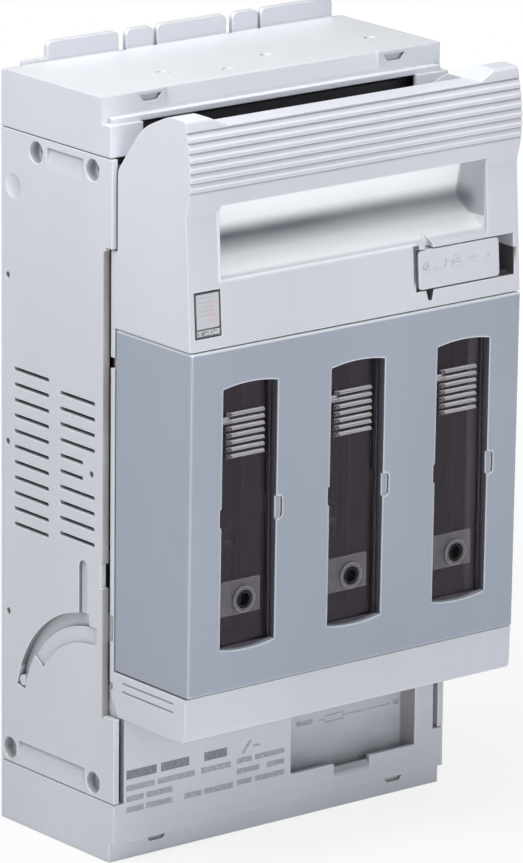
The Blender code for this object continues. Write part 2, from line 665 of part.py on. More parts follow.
# Lid frame
GRIP_TOP = (-72.8, HEIGHT - 2.0)
GRIP_MIDDLE = (-74.2, HEIGHT - 9.0)
GRIP_BOTTOM = (-74.4, HEIGHT - 17.0)
GRIP_UNDERSIDE = (-73.9, HEIGHT - 19.4)
GRIP_GROOVES = 7
GRIP_GROOVE_TOP = GRIP_TOP[1] - 1.0
GRIP_GROOVE_PITCH = 2.43
GRIP_GROOVE_DEPTH = 0.4
LID_WALL = 1.65
CREST_HEIGHT = HEIGHT - 0.1
CREST_NOTCH = 2.5
CREST_NOTCH_HALF = HALF - 13.5
CREST_NOTCH_SLOPE = 5.5
CREST_OPENING = (-66.5, HEIGHT - 16.0)  # front and lower limit of the open part behind the notch
SCOOP_SPAN = (-HALF + 11.3, HALF - 11.0)
SCOOP_WALL = 1.6
SLIDE_SPAN = (HALF - 33.3, HALF - 7.4)
SLIDE_HEIGHTS = (COVER_TOP + 4.6, COVER_TOP + 14.5)
SLIDE_TRAVEL = 4.4
SLIDE_THICKNESS = 2.6
FINGER_GROOVE = (SLIDE_SPAN[0] + 3.4, 1.3)  # centre and half width
MARKER_SPAN = (-HALF + 3.1, -HALF + 10.6)
MARKER_HEIGHTS = (COVER_TOP + 3.3, COVER_TOP + 14.2)
MARKER_THICKNESS = 0.9
PLATE_FRONT = FRONT_AT_COVER_BOTTOM - 2.7
PLATE_THICKNESS = 1.3
FRAME_INNER_HALF = LID_HALF - 3.95
STRIP_FRONT = LID_BACK + 1.4
RIM_BACK = PARTITION_DEPTH + 3.9  # rim that dips between the base's side walls when the lid is closed
SIDE_NOTCHES = (
    ((-LID_BACK - 1.6, -LID_BACK + 0.2), (COVER_TOP - 10.3, COVER_TOP - 7.5)),
    ((-LID_BACK - 1.1, -LID_BACK + 0.2), (COVER_BOTTOM + 7.5, COVER_BOTTOM + 14.3)),
    ((-LID_BACK - 1.1, -LID_BACK + 0.2), (COVER_BOTTOM - 4.8, COVER_BOTTOM - 3.0)),
)
HOOK_TIP = (-LID_BACK - 0.5, LID_BOTTOM + 4.7)
HOOK_HEEL = (-LID_BACK - 3.3, LID_BOTTOM)
ARM_ROOT = (-LID_BACK - 2.0, LID_BOTTOM + 6.2)       # where each arm runs into the lid


def circle_through(first, second, third):
    """Centre and radius of the circle through three points."""
    ax, ay = first
    bx, by = second
    cx, cy = third
    double = 2 * (ax * (by - cy) + bx * (cy - ay) + cx * (ay - by))
    a_square = ax * ax + ay * ay
    b_square = bx * bx + by * by
    c_square = cx * cx + cy * cy
    centre_x = (a_square * (by - cy) + b_square * (cy - ay) + c_square * (ay - by)) / double
    centre_y = (a_square * (cx - bx) + b_square * (ax - cx) + c_square * (bx - ax)) / double
    return (centre_x, centre_y), math.hypot(ax - centre_x, ay - centre_y)


def lid_front(height):
    """Y of the lid's front face between the lip and the cover's lower edge."""
    if height >= COVER_TOP:
        share = (height - COVER_TOP) / (LIP_HEIGHT - COVER_TOP)
        return -(FRONT_AT_COVER_TOP + share * (FRONT_AT_LIP - FRONT_AT_COVER_TOP))
    share = (height - COVER_BOTTOM) / (COVER_TOP - COVER_BOTTOM)
    return -(FRONT_AT_COVER_BOTTOM + share * (FRONT_AT_COVER_TOP - FRONT_AT_COVER_BOTTOM))


def front_slab(heights, outside, inside):
    """Outline in Y, Z that follows the lid's sloping front between two depths behind it."""
    low, high = heights
    return [(lid_front(low) + outside, low), (lid_front(high) + outside, high),
            (lid_front(high) + inside, high), (lid_front(low) + inside, low)]


def grip_curve(steps=8):
    centre, radius = circle_through(GRIP_TOP, GRIP_MIDDLE, GRIP_BOTTOM)
    first = math.degrees(math.atan2(GRIP_TOP[1] - centre[1], GRIP_TOP[0] - centre[0]))
    last = math.degrees(math.atan2(GRIP_BOTTOM[1] - centre[1], GRIP_BOTTOM[0] - centre[0])) % 360
    return arc(centre, radius, first, last, steps)


def grip_front(height):
    centre, radius = circle_through(GRIP_TOP, GRIP_MIDDLE, GRIP_BOTTOM)
    return centre[0] - math.sqrt(radius ** 2 - (height - centre[1]) ** 2)


def head_outline():
    """Side view of the lid's upper part, above the cover."""
    head_step = SIDE_STEP - 0.5
    crest = rounded([
        (-LID_BACK_UPPER, head_step, 0), (-LID_BACK_UPPER, CREST_HEIGHT - 17.1, 5),
        (-55.6, CREST_HEIGHT - 4.7, 16),
        (-66.2, CREST_HEIGHT, 9), (-72.3, CREST_HEIGHT - 0.2, 2), (GRIP_TOP[0], GRIP_TOP[1], 0),
    ], 6)
    return ([(-LID_BACK, COVER_TOP), (-LID_BACK, head_step)] + crest[:-1] + grip_curve()
            + [GRIP_UNDERSIDE, (-FRONT_AT_LIP, LIP_HEIGHT), (lid_front(COVER_TOP), COVER_TOP)])


def head_cavity():
    roof = CREST_HEIGHT - CREST_NOTCH - 1.7
    inner = lid_front(COVER_TOP) + LID_WALL
    ledge = CREST_HEIGHT - 18.5
    return rounded([
        (-40, COVER_TOP - 1, 0), (-40, ledge, 0), (-LID_BACK_UPPER - 2.8, ledge, 0),
        (-56.8, CREST_HEIGHT - 5.7, 14),
        (-66.8, roof, 6), (-71.0, roof, 3), (GRIP_BOTTOM[0] + 2, GRIP_MIDDLE[1], 8),
        (GRIP_BOTTOM[0] + 2, GRIP_BOTTOM[1], 4), (-FRONT_AT_LIP + LID_WALL, LIP_HEIGHT + 1.5, 0),
        (-FRONT_AT_LIP + LID_WALL, LIP_HEIGHT, 0), (inner, COVER_TOP, 0), (inner, COVER_TOP - 1, 0),
    ], 4)


def scoop_outline(wall):
    """Hand recess below the grip, grown by a wall for the shell behind it."""
    ceiling = LIP_HEIGHT + 1.8
    back = -FRONT_AT_LIP + 8.5
    lip = SLIDE_HEIGHTS[1] + 1.0
    front = lid_front(lip)
    return rounded([
        (front - 1.5, ceiling + wall, 0), (back + wall, ceiling + wall, 1),
        (back + 2.5 + wall, ceiling - 11.3 - wall * 0.5, 3.5),
        (front + 0.7, lip + 0.9 - wall * 1.2, 1), (front - 1.5, lip - 1.5 - wall * 1.2, 0),
    ], 6)


def peg_place():
    angle = math.radians(PEG_REST_ANGLE)
    return (-HINGE_DEPTH + PEG_PATH_RADIUS * math.cos(angle),
            HINGE_HEIGHT + PEG_PATH_RADIUS * math.sin(angle))


def make_lid_arm(side):
    """Flat arm: hinge eye, root in the lid, peg in the side wall's arc and a web that closes the arc."""
    outer = INNER_HALF - GAP
    span = side_span(side, outer - ARM_THICKNESS, outer)
    hinge = (-HINGE_DEPTH, HINGE_HEIGHT)
    peg = peg_place()
    arm = prism("X", span, capsule(hinge, ARM_ROOT, 3.2))
    fuse(arm, prism("X", span, circle(hinge, 4.6)))
    fuse(arm, prism("X", span, capsule(hinge, peg, 2.4)))
    web_end = 180 - math.degrees(math.acos((STRIP_FRONT - 1.0 - HINGE_DEPTH) / PEG_PATH_RADIUS))
    web = swing_arc(PEG_PATH_RADIUS - 4.1, PEG_PATH_RADIUS + 3.0, PEG_REST_ANGLE, web_end)
    fuse(arm, prism("X", span, web))
    fuse(arm, prism("X", side_span(side, outer - ARM_THICKNESS, HALF - 0.4), circle(peg, PEG_RADIUS, 16)))
    cut(arm, prism("X", side_span(side, outer - ARM_THICKNESS - 1, outer + 1),
                   circle(hinge, HINGE_STUB_RADIUS + HINGE_PLAY)))
    return arm


def make_crest_notch():
    low = CREST_HEIGHT - CREST_NOTCH
    reach = CREST_NOTCH_HALF + CREST_NOTCH_SLOPE
    outline = [(-reach, CREST_HEIGHT + 1), (-reach, CREST_HEIGHT), (-CREST_NOTCH_HALF, low),
               (CREST_NOTCH_HALF, low), (reach, CREST_HEIGHT), (reach, CREST_HEIGHT + 1)]
    notch = prism("Y", (-78, -40), outline)
    front, low = CREST_OPENING
    return fuse(notch, block((-CREST_NOTCH_HALF, CREST_NOTCH_HALF), (front, -40), (low, CREST_HEIGHT)))


def make_grip_grooves():
    """Saw-tooth grooves: a sharp upper edge and a floor that runs out downwards."""
    grooves = []
    for index in range(GRIP_GROOVES):
        high = GRIP_GROOVE_TOP - index * GRIP_GROOVE_PITCH
        low = high - 0.62 * GRIP_GROOVE_PITCH
        outline = [(grip_front(high) - 1, high), (grip_front(high) + GRIP_GROOVE_DEPTH, high),
                   (grip_front(low), low), (grip_front(low) - 1, low)]
        grooves.append(prism("X", (-LID_HALF - 1, LID_HALF + 1), outline))
    return join(grooves)


def make_lid_frame(material, hinge):
    shape = prism("X", (-LID_HALF, LID_HALF), head_outline())
    inside = LID_HALF - LID_WALL
    cut(shape, prism("X", (-inside, inside), head_cavity()))
    cut(shape, make_crest_notch())
    cut(shape, make_grip_grooves())

    band = rounded([
        (-LID_BACK, COVER_BOTTOM, 0), (HOOK_TIP[0], HOOK_TIP[1], 0), (HOOK_HEEL[0], HOOK_HEEL[1], 0),
        (-FRONT_AT_COVER_BOTTOM + 0.6, LID_BOTTOM, 1.6), (-FRONT_AT_COVER_BOTTOM + 0.2, COVER_BOTTOM, 0),
    ], 3)
    lower = prism("X", (-LID_HALF, LID_HALF), band)
    cut(lower, block((-inside, inside), (-FRONT_AT_COVER_BOTTOM + 2.2, -STRIP_FRONT),
                     (LID_BOTTOM + LID_WALL, COVER_BOTTOM + 1)))
    fuse(shape, lower)
    wall_outer = COVER_HALF - COVER_WALL - GAP
    for side in (1, -1):
        fuse(shape, block(side_span(side, FRAME_INNER_HALF, LID_HALF), (-STRIP_FRONT, -LID_BACK),
                          (COVER_BOTTOM - 4, SIDE_STEP - 1)))
        fuse(shape, block(side_span(side, FRAME_INNER_HALF, wall_outer), (-PLATE_FRONT, -RIM_BACK),
                          (COVER_BOTTOM - 2, SIDE_STEP - 1)))
        fuse(shape, make_lid_arm(side))
    plate_back = -PLATE_FRONT + PLATE_THICKNESS
    plate_heights = (COVER_BOTTOM - 2, COVER_TOP + 2)
    fuse(shape, block((-wall_outer, wall_outer), (-PLATE_FRONT, plate_back), plate_heights))
    for edge_front, heights in ((FRONT_AT_COVER_TOP, (COVER_TOP, COVER_TOP + 2)),
                                (FRONT_AT_COVER_BOTTOM, (COVER_BOTTOM - 2, COVER_BOTTOM))):
        fuse(shape, block((-inside - 0.5, inside + 0.5), (-edge_front + 1.0, plate_back), heights))

    openings = []
    rails = []
    rail_inner = PANE_WIDTH / 2 + GAP
    rail_outer = rail_inner + 1.2
    rail_depths = (-PLATE_FRONT - PANE_THICKNESS - 0.2, -PLATE_FRONT + 0.5)
    plate_opening_half = PANE_WIDTH / 2 - 0.8
    for centre in pole_centres():
        openings.append(block((centre - plate_opening_half, centre + plate_opening_half),
                              (-PLATE_FRONT - 1, -PLATE_FRONT + 2), (WINDOW_BOTTOM - 0.9, WINDOW_TOP + 0.9)))
        for side in (1, -1):
            span = sorted((centre + side * rail_inner, centre + side * rail_outer))
            rails.append(block(span, rail_depths, (PANE_BOTTOM - PANE_TRAVEL - GAP, PANE_TOP + GAP)))
    cut(shape, join(openings))
    fuse(shape, join(rails))

    pad = 1.6
    pocket_heights = (SLIDE_HEIGHTS[0] - GAP, SLIDE_HEIGHTS[1] + GAP)
    pocket_span = (SLIDE_SPAN[0] - 1.0, SLIDE_SPAN[1] + SLIDE_TRAVEL + GAP)
    pad_heights = (pocket_heights[0] - pad, pocket_heights[1] + pad)
    fuse(shape, prism("X", (pocket_span[0] - pad, pocket_span[1] + 0.5), front_slab(pad_heights, 1.0, 4.6)))

    shell_span = (SCOOP_SPAN[0] - SCOOP_WALL, SCOOP_SPAN[1] + SCOOP_WALL)
    scoop_shell = prism("X", shell_span, scoop_outline(SCOOP_WALL))
    shell_front = (-FRONT_AT_LIP - 8, -FRONT_AT_LIP + 0.7)
    cut(scoop_shell, block((-HALF, HALF), shell_front, (COVER_TOP, CREST_HEIGHT)))
    fuse(shape, scoop_shell)
    cut(shape, prism("X", SCOOP_SPAN, scoop_outline(0)))

    cut(shape, prism("X", pocket_span, front_slab(pocket_heights, -1, SLIDE_THICKNESS + GAP)))
    cut(shape, slide_tongue(0.4, SLIDE_TRAVEL, 0.0, 6.0))
    cut(shape, block((SLIDE_SPAN[1] + 0.9, pocket_span[1]), (-FRONT_AT_COVER_TOP - 1, -PLATE_FRONT + 9),
                     (SLIDE_HEIGHTS[0] + 0.3, SLIDE_HEIGHTS[1] - 0.3)))
    cut(shape, prism("Y", (-FRONT_AT_COVER_TOP - 1, -FRONT_AT_LIP + 1.6), finger_groove_outline()))

    marker_heights = (MARKER_HEIGHTS[0] - GAP, MARKER_HEIGHTS[1] + GAP)
    cut(shape, prism("X", (MARKER_SPAN[0] - GAP, MARKER_SPAN[1] + GAP),
                     front_slab(marker_heights, -1, MARKER_THICKNESS + GAP)))
    for depths, heights in SIDE_NOTCHES:
        cut(shape, both_sides(
            lambda side: block(side_span(side, LID_HALF - 1.3, LID_HALF + 1), depths, heights)))
    for height in (COVER_BOTTOM - 2.1, COVER_BOTTOM - 4.3):
        heights = (height - 0.25, height + 0.25)
        cut(shape, both_sides(
            lambda side: block(side_span(side, LID_HALF - 0.35, LID_HALF + 1), (-69.0, -48.5), heights)))
    return finish(shape, "lid_frame", material, hinge_origin(), hinge)


def finger_groove_outline():
    """Groove across the slide's pocket that runs out to a point above and narrows below."""
    middle, half = FINGER_GROOVE
    wide = (COVER_TOP + 4.6, COVER_TOP + 15.5)
    return [(middle - half * 0.45, COVER_TOP + 1.7), (middle + half * 0.45, COVER_TOP + 1.7),
            (middle + half, wide[0]), (middle + half, wide[1]), (middle, COVER_TOP + 19.0),
            (middle - half, wide[1]), (middle - half, wide[0])]


def hinge_origin():
    return (0.0, -HINGE_DEPTH, HINGE_HEIGHT)


def make_lid_cover(material, hinge):
    """Blue-grey cover that wraps the front and both sides between the grip and the lower band."""
    bottom = COVER_BOTTOM + GAP
    top = COVER_TOP - GAP
    back = -STRIP_FRONT - GAP
    outline = [(back, bottom), (back, top), (lid_front(top) - COVER_PROUD, top),
               (lid_front(bottom) - COVER_PROUD, bottom)]
    shape = soften(prism("X", (-COVER_HALF, COVER_HALF), outline), 0.45)
    inside = COVER_HALF - COVER_WALL
    window_wall_back = -PLATE_FRONT - PANE_THICKNESS - 2 * GAP
    middle = (WINDOW_BOTTOM + WINDOW_TOP) / 2 + 0.5
    notch_depths = (-FRONT_AT_COVER_TOP - 5, lid_front(middle) - COVER_PROUD + FINGER_NOTCH_DEPTH)
    cut(shape, block((-inside, inside), (window_wall_back, 0), (0, HEIGHT)))
    for centre in pole_centres():
        left = centre - WINDOW_WIDTH / 2
        right = centre + WINDOW_WIDTH / 2
        half = WINDOW_WIDTH / 2
        radius = (half ** 2 + WINDOW_BULGE ** 2) / (2 * WINDOW_BULGE)
        sweep = math.degrees(math.asin(half / radius))
        upper = arc((centre, WINDOW_TOP + WINDOW_BULGE - radius), radius, 90 - sweep, 90 + sweep, 8)
        lower = arc((centre, WINDOW_BOTTOM - WINDOW_BULGE + radius), radius, 270 - sweep, 270 + sweep, 8)
        cut(shape, prism("Y", (notch_depths[0], window_wall_back + 5), upper + lower))
        finger_notch = rectangle((right - 0.6, right + 1.9),
                                 (middle - FINGER_NOTCH_HALF, middle + FINGER_NOTCH_HALF), 1.2)
        small_notch = rectangle((left - 0.5, left + 0.5),
                                (middle - SMALL_NOTCH_HALF, middle + SMALL_NOTCH_HALF), 0.3)
        cut(shape, prism("Y", notch_depths, finger_notch), prism("Y", notch_depths, small_notch))
    return finish(shape, "lid_cover", material, hinge_origin(), hinge)


# Black carrier inside the lid that grips the fuse links
CARRIER_FRONT = 60.0
CARRIER_THICKNESS = 2.0
CARRIER_SPAN = (COVER_BOTTOM + 1.0, COVER_TOP + 2.9)
CARRIER_WINDOW_WIDTH = WINDOW_WIDTH + 2.1
CARRIER_WINDOW = (WINDOW_BOTTOM - 0.7, WINDOW_TOP + 1.4)
FIN_BACK = 47.6
FIN_SPAN = (COVER_BOTTOM + 4.5, COVER_TOP - 3.1)
HOOK_HALF_WIDTH = 6.0
HOOK_THICKNESS = 3.0
HOOK_REACH = 2.0             # how far a hook's nose overhangs the end of a fuse link
HOOK_BACK = 48.6


def make_fuse_carrier(material, hinge):
    half = FRAME_INNER_HALF - GAP
    depths = (-CARRIER_FRONT, -CARRIER_FRONT + CARRIER_THICKNESS)
    shape = block((-half, half), depths, CARRIER_SPAN)
    openings = []
    for centre in pole_centres():
        openings.append(block((centre - CARRIER_WINDOW_WIDTH / 2, centre + CARRIER_WINDOW_WIDTH / 2),
                              (depths[0] - 1, depths[1] + 1), CARRIER_WINDOW))
    cut(shape, join(openings))
    rooted = depths[0] + 0.5
    centres = pole_centres()
    fins = [(half - 1.5, half), (-half, 1.5 - half)]
    for first, second in zip(centres, centres[1:]):
        middle = (first + second) / 2
        fins.append((middle - 0.8, middle + 0.8))
    for span in fins:
        fuse(shape, block(span, (rooted, -FIN_BACK), FIN_SPAN))
    for centre in centres:
        span = (centre - HOOK_HALF_WIDTH, centre + HOOK_HALF_WIDTH)
        for inner, outward in ((CARRIER_WINDOW[1] + 1.0, 1), (CARRIER_WINDOW[0] - 1.0, -1)):
            outer = inner + outward * HOOK_THICKNESS
            fuse(shape, block(span, (rooted, -HOOK_BACK - 1.8), sorted((inner, outer))))
            nose = sorted((inner - outward * HOOK_REACH, outer))
            fuse(shape, block(span, (-HOOK_BACK - 2.0, -HOOK_BACK), nose))
    return finish(shape, "fuse_carrier", material, hinge_origin(), hinge)


# Sliding windows
PANE_RIBS = 7
PANE_RIB_TOP = WINDOW_TOP - 6.9
PANE_RIB_PITCH = 1.75
PANE_RIB_SPAN = (-5.3, 5.9)
TEST_HOLE_HEIGHT = WINDOW_BOTTOM + 11.3
PANE_TAB_HEIGHTS = (TEST_HOLE_HEIGHT - 3.6, TEST_HOLE_HEIGHT + 5.0)
TEST_HOLE_RADIUS = 1.7


def make_window_pane(number, centre, material, hinge):
    """Clear pane with grip ribs above and a collared test hole below."""
    back = -PLATE_FRONT - GAP
    front = back - PANE_THICKNESS
    half = PANE_WIDTH / 2
    shape = block((centre - half, centre + half), (front, back), (PANE_BOTTOM, PANE_TOP))
    rib_span = (centre + PANE_RIB_SPAN[0], centre + PANE_RIB_SPAN[1])
    ribs = []
    for index in range(PANE_RIBS):
        high = PANE_RIB_TOP - index * PANE_RIB_PITCH
        ribs.append(prism("X", rib_span, [
            (front + 0.3, high), (front - 0.35, high), (front - 0.9, high - 0.35),
            (front - 0.9, high - 0.75), (front + 0.3, high - 1.15),
        ]))
    fuse(shape, join(ribs))
    opening_left = centre - WINDOW_WIDTH / 2
    fuse(shape, block((opening_left + 0.4, rib_span[0] + 0.3), (front - 0.5, front + 0.3),
                      (PANE_RIB_TOP - 2.6, PANE_RIB_TOP - 1.0)))
    fuse(shape, block((opening_left + 0.4, centre + 5.2), (front - 0.45, front + 0.3), PANE_TAB_HEIGHTS))
    place = (centre, TEST_HOLE_HEIGHT)
    fuse(shape, prism("Y", (front - 1.0, front + 0.3), circle(place, TEST_HOLE_RADIUS + 1.1, 20)))
    cut(shape, prism("Y", (front - 2, back + 1), circle(place, TEST_HOLE_RADIUS, 20)))
    origin = (centre, front, (PANE_BOTTOM + PANE_TOP) / 2)
    return finish(shape, f"window_pane_{number}", material, origin, hinge)


# Lock slide
TONGUE_SPAN = (SLIDE_SPAN[0] + 7.8, SLIDE_SPAN[0] + 17.8)
TONGUE_HEIGHTS = (SLIDE_HEIGHTS[0] + 3.5, SLIDE_HEIGHTS[0] + 6.3)


def slide_tongue(play, travel, outside, inside):
    """Neck of the lock slide, or the slot it runs in when grown by play and travel."""
    span = (TONGUE_SPAN[0] - play, TONGUE_SPAN[1] + play + travel)
    heights = (TONGUE_HEIGHTS[0] - play, TONGUE_HEIGHTS[1] + play)
    return prism("X", span, front_slab(heights, outside, inside))


def make_lock_slide(material, hinge):
    """Flat slide with a neck through the lid wall and a foot that keeps it in."""
    shape = prism("Y", (-FRONT_AT_COVER_TOP - 5, -PLATE_FRONT + 5), rectangle(SLIDE_SPAN, SLIDE_HEIGHTS, 1.1))
    slab = prism("X", (-HALF, HALF), front_slab((COVER_TOP, LIP_HEIGHT), 0.0, SLIDE_THICKNESS))
    combine(shape, [slab], "INTERSECT")
    soften(shape, 0.3)
    wall_back = 4.6
    fuse(shape, slide_tongue(0.0, 0.0, SLIDE_THICKNESS - 0.5, wall_back + GAP + 0.5))
    foot_heights = (TONGUE_HEIGHTS[0] - 1.6, TONGUE_HEIGHTS[1] + 1.6)
    fuse(shape, prism("X", TONGUE_SPAN, front_slab(foot_heights, wall_back + GAP, wall_back + GAP + 1.2)))
    origin = (SLIDE_SPAN[0], lid_front(SLIDE_HEIGHTS[0]), SLIDE_HEIGHTS[0])
    return finish(shape, "lock_slide", material, origin, hinge)


def make_marker_plate(material, hinge):
    shape = prism("X", MARKER_SPAN, front_slab(MARKER_HEIGHTS, 0.0, MARKER_THICKNESS))
    divider = (MARKER_HEIGHTS[0] + 1.8, MARKER_HEIGHTS[0] + 2.2)
    cut(shape, prism("X", (MARKER_SPAN[0] - 1, MARKER_SPAN[1] + 1), front_slab(divider, -1, 0.35)))
    return finish(shape, "marker_plate", material, hinge_origin(), hinge)


def make_hinge_empty():
    empty = bpy.data.objects.new("lid_hinge_axis", None)
    bpy.context.scene.collection.objects.link(empty)
    empty.location = world_point(*hinge_origin())
    return empty


def main():
    clear_scene()
    housing = make_material("light_grey_plastic", LIGHT_GREY, 0.45)
    cover = make_material("blue_grey_plastic", BLUE_GREY, 0.42)
    black = make_material("black_plastic", BLACK, 0.55)
    clear = make_material("clear_plastic", CLEAR, 0.08, transmission=0.9)
    silvered = make_material("silvered_copper", SILVERED, 0.3, 1.0)
    steel = make_material("zinc_plated_steel", STEEL, 0.35, 1.0)
    hinge = make_hinge_empty()
    make_base_housing(housing)
    make_upper_cover(housing)
    make_lower_cover(housing)
    make_inner_block(black)
    for number, centre in enumerate(pole_centres(), start=1):
        for level in ("upper", "lower"):
            make_contact(level, number, centre, silvered)
            make_jaw_spring(level, number, centre, steel)
            make_terminal_bolt(level, number, centre, steel)
            make_terminal_nut(level, number, centre, steel)
        make_window_pane(number, centre, clear, hinge)
    make_lid_frame(housing, hinge)
    make_lid_cover(cover, hinge)
    make_fuse_carrier(black, hinge)
    make_lock_slide(housing, hinge)
    make_marker_plate(housing, hinge)


main()
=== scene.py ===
"""Looks, light and camera for the three-pole fuse switch disconnector.

Lengths are metres in the model's own frame, or millimetres where a comment says so. The back face lies on
Y = 0 and the front looks along -Y. Colours are linear.
"""
import math

import bmesh
import bpy
from mathutils import Matrix, Vector


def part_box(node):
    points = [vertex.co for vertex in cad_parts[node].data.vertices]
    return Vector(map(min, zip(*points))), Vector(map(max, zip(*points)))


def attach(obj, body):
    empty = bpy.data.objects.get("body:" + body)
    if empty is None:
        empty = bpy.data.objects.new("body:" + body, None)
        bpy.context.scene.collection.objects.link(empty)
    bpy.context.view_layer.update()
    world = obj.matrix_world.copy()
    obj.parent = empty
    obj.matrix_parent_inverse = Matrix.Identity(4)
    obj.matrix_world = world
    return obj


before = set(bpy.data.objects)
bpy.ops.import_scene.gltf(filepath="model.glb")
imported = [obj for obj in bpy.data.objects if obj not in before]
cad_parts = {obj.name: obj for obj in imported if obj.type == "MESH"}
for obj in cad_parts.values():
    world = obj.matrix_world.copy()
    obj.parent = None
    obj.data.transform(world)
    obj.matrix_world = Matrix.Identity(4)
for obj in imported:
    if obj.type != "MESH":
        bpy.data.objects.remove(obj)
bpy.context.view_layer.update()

X, Y, Z = range(3)
MM = 0.001


def opaque(red, green, blue):
    return (red, green, blue, 1.0)


def toned(colour, factor):
    """Colour made darker or lighter."""
    return opaque(*(min(1.0, channel * factor) for channel in colour[:3]))


# Plastics and plate, with the lighter tones painted on their edges as highlights; the grey one also whitens the
# milky parts of the panes
LIGHT_GREY, HIGHLIGHT_AND_MILK_GREY = opaque(0.640, 0.662, 0.722), opaque(0.93, 0.94, 0.97)
BLUE_GREY, EDGE_HIGHLIGHT_BLUE = opaque(0.345, 0.386, 0.462), opaque(0.78, 0.81, 0.86)
CARBON, EDGE_HIGHLIGHT_CARBON = opaque(0.022, 0.017, 0.021), opaque(0.06, 0.05, 0.06)
SMOKE, PALE_SMOKE, SMOKE_GLOSS = opaque(0.60, 0.55, 0.60), opaque(0.66, 0.61, 0.66), opaque(0.90, 0.76, 0.90)
SILVER_PLATE, ZINC_PLATE = opaque(0.80, 0.78, 0.74), opaque(0.62, 0.64, 0.66)
EDGE_HIGHLIGHT_METAL = opaque(0.93, 0.92, 0.90)

# Tones laid over some places: painted shade and painted highlights, and the marker's own colours and print
WALL_FRONT_SHADE, SLOT_SHADE = opaque(0.235, 0.215, 0.215), opaque(0.11, 0.10, 0.105)
CAP_TOP_SHADE, CAP_FRONT_HIGHLIGHT = opaque(0.622, 0.645, 0.672), opaque(0.80, 0.83, 0.875)
LABEL_SHADE, LABEL_WALL_SHADE = opaque(0.22, 0.23, 0.25), opaque(0.30, 0.27, 0.265)
RECESS_HIGHLIGHT, RECESS_SHADE = opaque(0.93, 0.945, 0.97), opaque(0.30, 0.32, 0.35)
RECESS_CREASE_SHADE, LIP_HIGHLIGHT = opaque(0.110, 0.120, 0.142), opaque(0.97, 0.98, 1.0)
GRIP_GROOVE_SHADOW, GRIP_RIDGE_HIGHLIGHT = opaque(0.30, 0.31, 0.34), opaque(0.95, 0.96, 0.98)
GAP_SHADE, WINDOW_SHADE = opaque(0.085, 0.078, 0.085), opaque(0.055, 0.055, 0.075)
CARD_GREY, CARD_PINK = opaque(0.555, 0.580, 0.625), opaque(0.60, 0.525, 0.545)
CARD_RULE, CARD_MOTTLE = opaque(0.36, 0.37, 0.39), opaque(0.17, 0.15, 0.17)
CARD_EDGE_SHADE_AND_DIVIDER = opaque(0.115, 0.115, 0.13)
BOLD_PRINT, FINE_PRINT = opaque(0.19, 0.20, 0.235), opaque(0.34, 0.355, 0.40)
HOLE_RIM_HIGHLIGHT = opaque(0.175, 0.175, 0.215)

# Studio
FLOOR_GREY, PALE_FLOOR = opaque(0.86, 0.865, 0.875), opaque(0.89, 0.893, 0.90)
FILL_BLUE = opaque(0.95, 0.97, 1.0)

# Boxes that hold those tones: limits along X, Y and Z, with None where an axis is free
WALL_FRONTS = (None, (-0.0424, -0.0418), (-0.0600, 0.0590))
ARC_SLOTS = (None, (-0.0372, -0.0080), (-0.0600, -0.0205))
LABEL_RECESS = ((0.0032, 0.0450), (-0.0462, -0.0400), (-0.0910, -0.0620))
LABEL_RIGHT_WALL = ((0.0436, 0.0450), (-0.0464, -0.0400), (-0.0860, -0.0620))
HAND_RECESS = ((-0.0419, 0.0422), (-0.0722, -0.0550), (0.0530, 0.0750))
RECESS_RIGHT_WALL = ((0.0412, 0.0424), (-0.0722, -0.0550), (0.0600, 0.0750))
RECESS_LIP = ((-0.0424, 0.0192), (-0.0752, -0.0725), (0.0560, 0.0565))
RECESS_LEFT_JAMB = ((-0.0426, -0.0419), (-0.0752, -0.0710), (0.0560, 0.0735))
GRIP = (None, (-0.0760, -0.0700), (0.0787, 0.0943))
FRAME_OPENINGS = (None, (-0.0722, -0.0600), (-0.0370, 0.0305))
SLIDE_POCKET = ((0.0462, 0.0510), (-0.0742, -0.0600), (0.0420, 0.0513))
SLIDE_NOTCH = ((0.0213, 0.0248), (-0.0744, -0.0600), (0.0412, 0.0447))
SLIDE_SEAM = ((0.0180, 0.0199), (-0.0744, -0.0600), (0.0440, 0.0560))
COVER_FRONT = ((-0.0500, 0.0500), (-0.0752, -0.0600), None)
CARD_PINK_HALF = ((-0.0466, -0.0430), None, (0.0462, 0.0520))
CARD_RULED_HALF = ((-0.0492, -0.0440), None, (0.0485, 0.0533))
CARD_MOTTLED_FIELD = ((-0.0494, -0.0431), None, (0.0438, 0.0449))
CARD_FIELDS = ((-0.04956, -0.04274), None, (0.04376, 0.05394))

# Heights on the windows, from and to
TAB_HEIGHTS = (-0.0287, -0.0199)
RIB_HEIGHTS = (0.0105, 0.0232)
LONG_RIB_HEIGHTS = (0.0201, 0.0217)

# What repeats down a face: the top of its first step and the pitch
RIB_STEPS = (0.0227, 0.00175)
GRIP_STEPS = (0.0940, 0.00243)
CARD_RULE_PITCH = 0.0011

# Millimetres
POLE_PITCH = 33.6
TEST_HOLE_HEIGHT = -25.0
LABEL_RECESS_DEPTH = 5.9
SLOPE_FOOT, SLOPE_HEAD = (40.1, -74.8), (73.0, -72.7)  # Z and Y of the lid's sloping front
STROKE_SINK = 0.02  # how far a stroke reaches into its face
PRINT_RISE, SIGN_RISE, RIM_RISE = 0.03, 0.2, 0.05


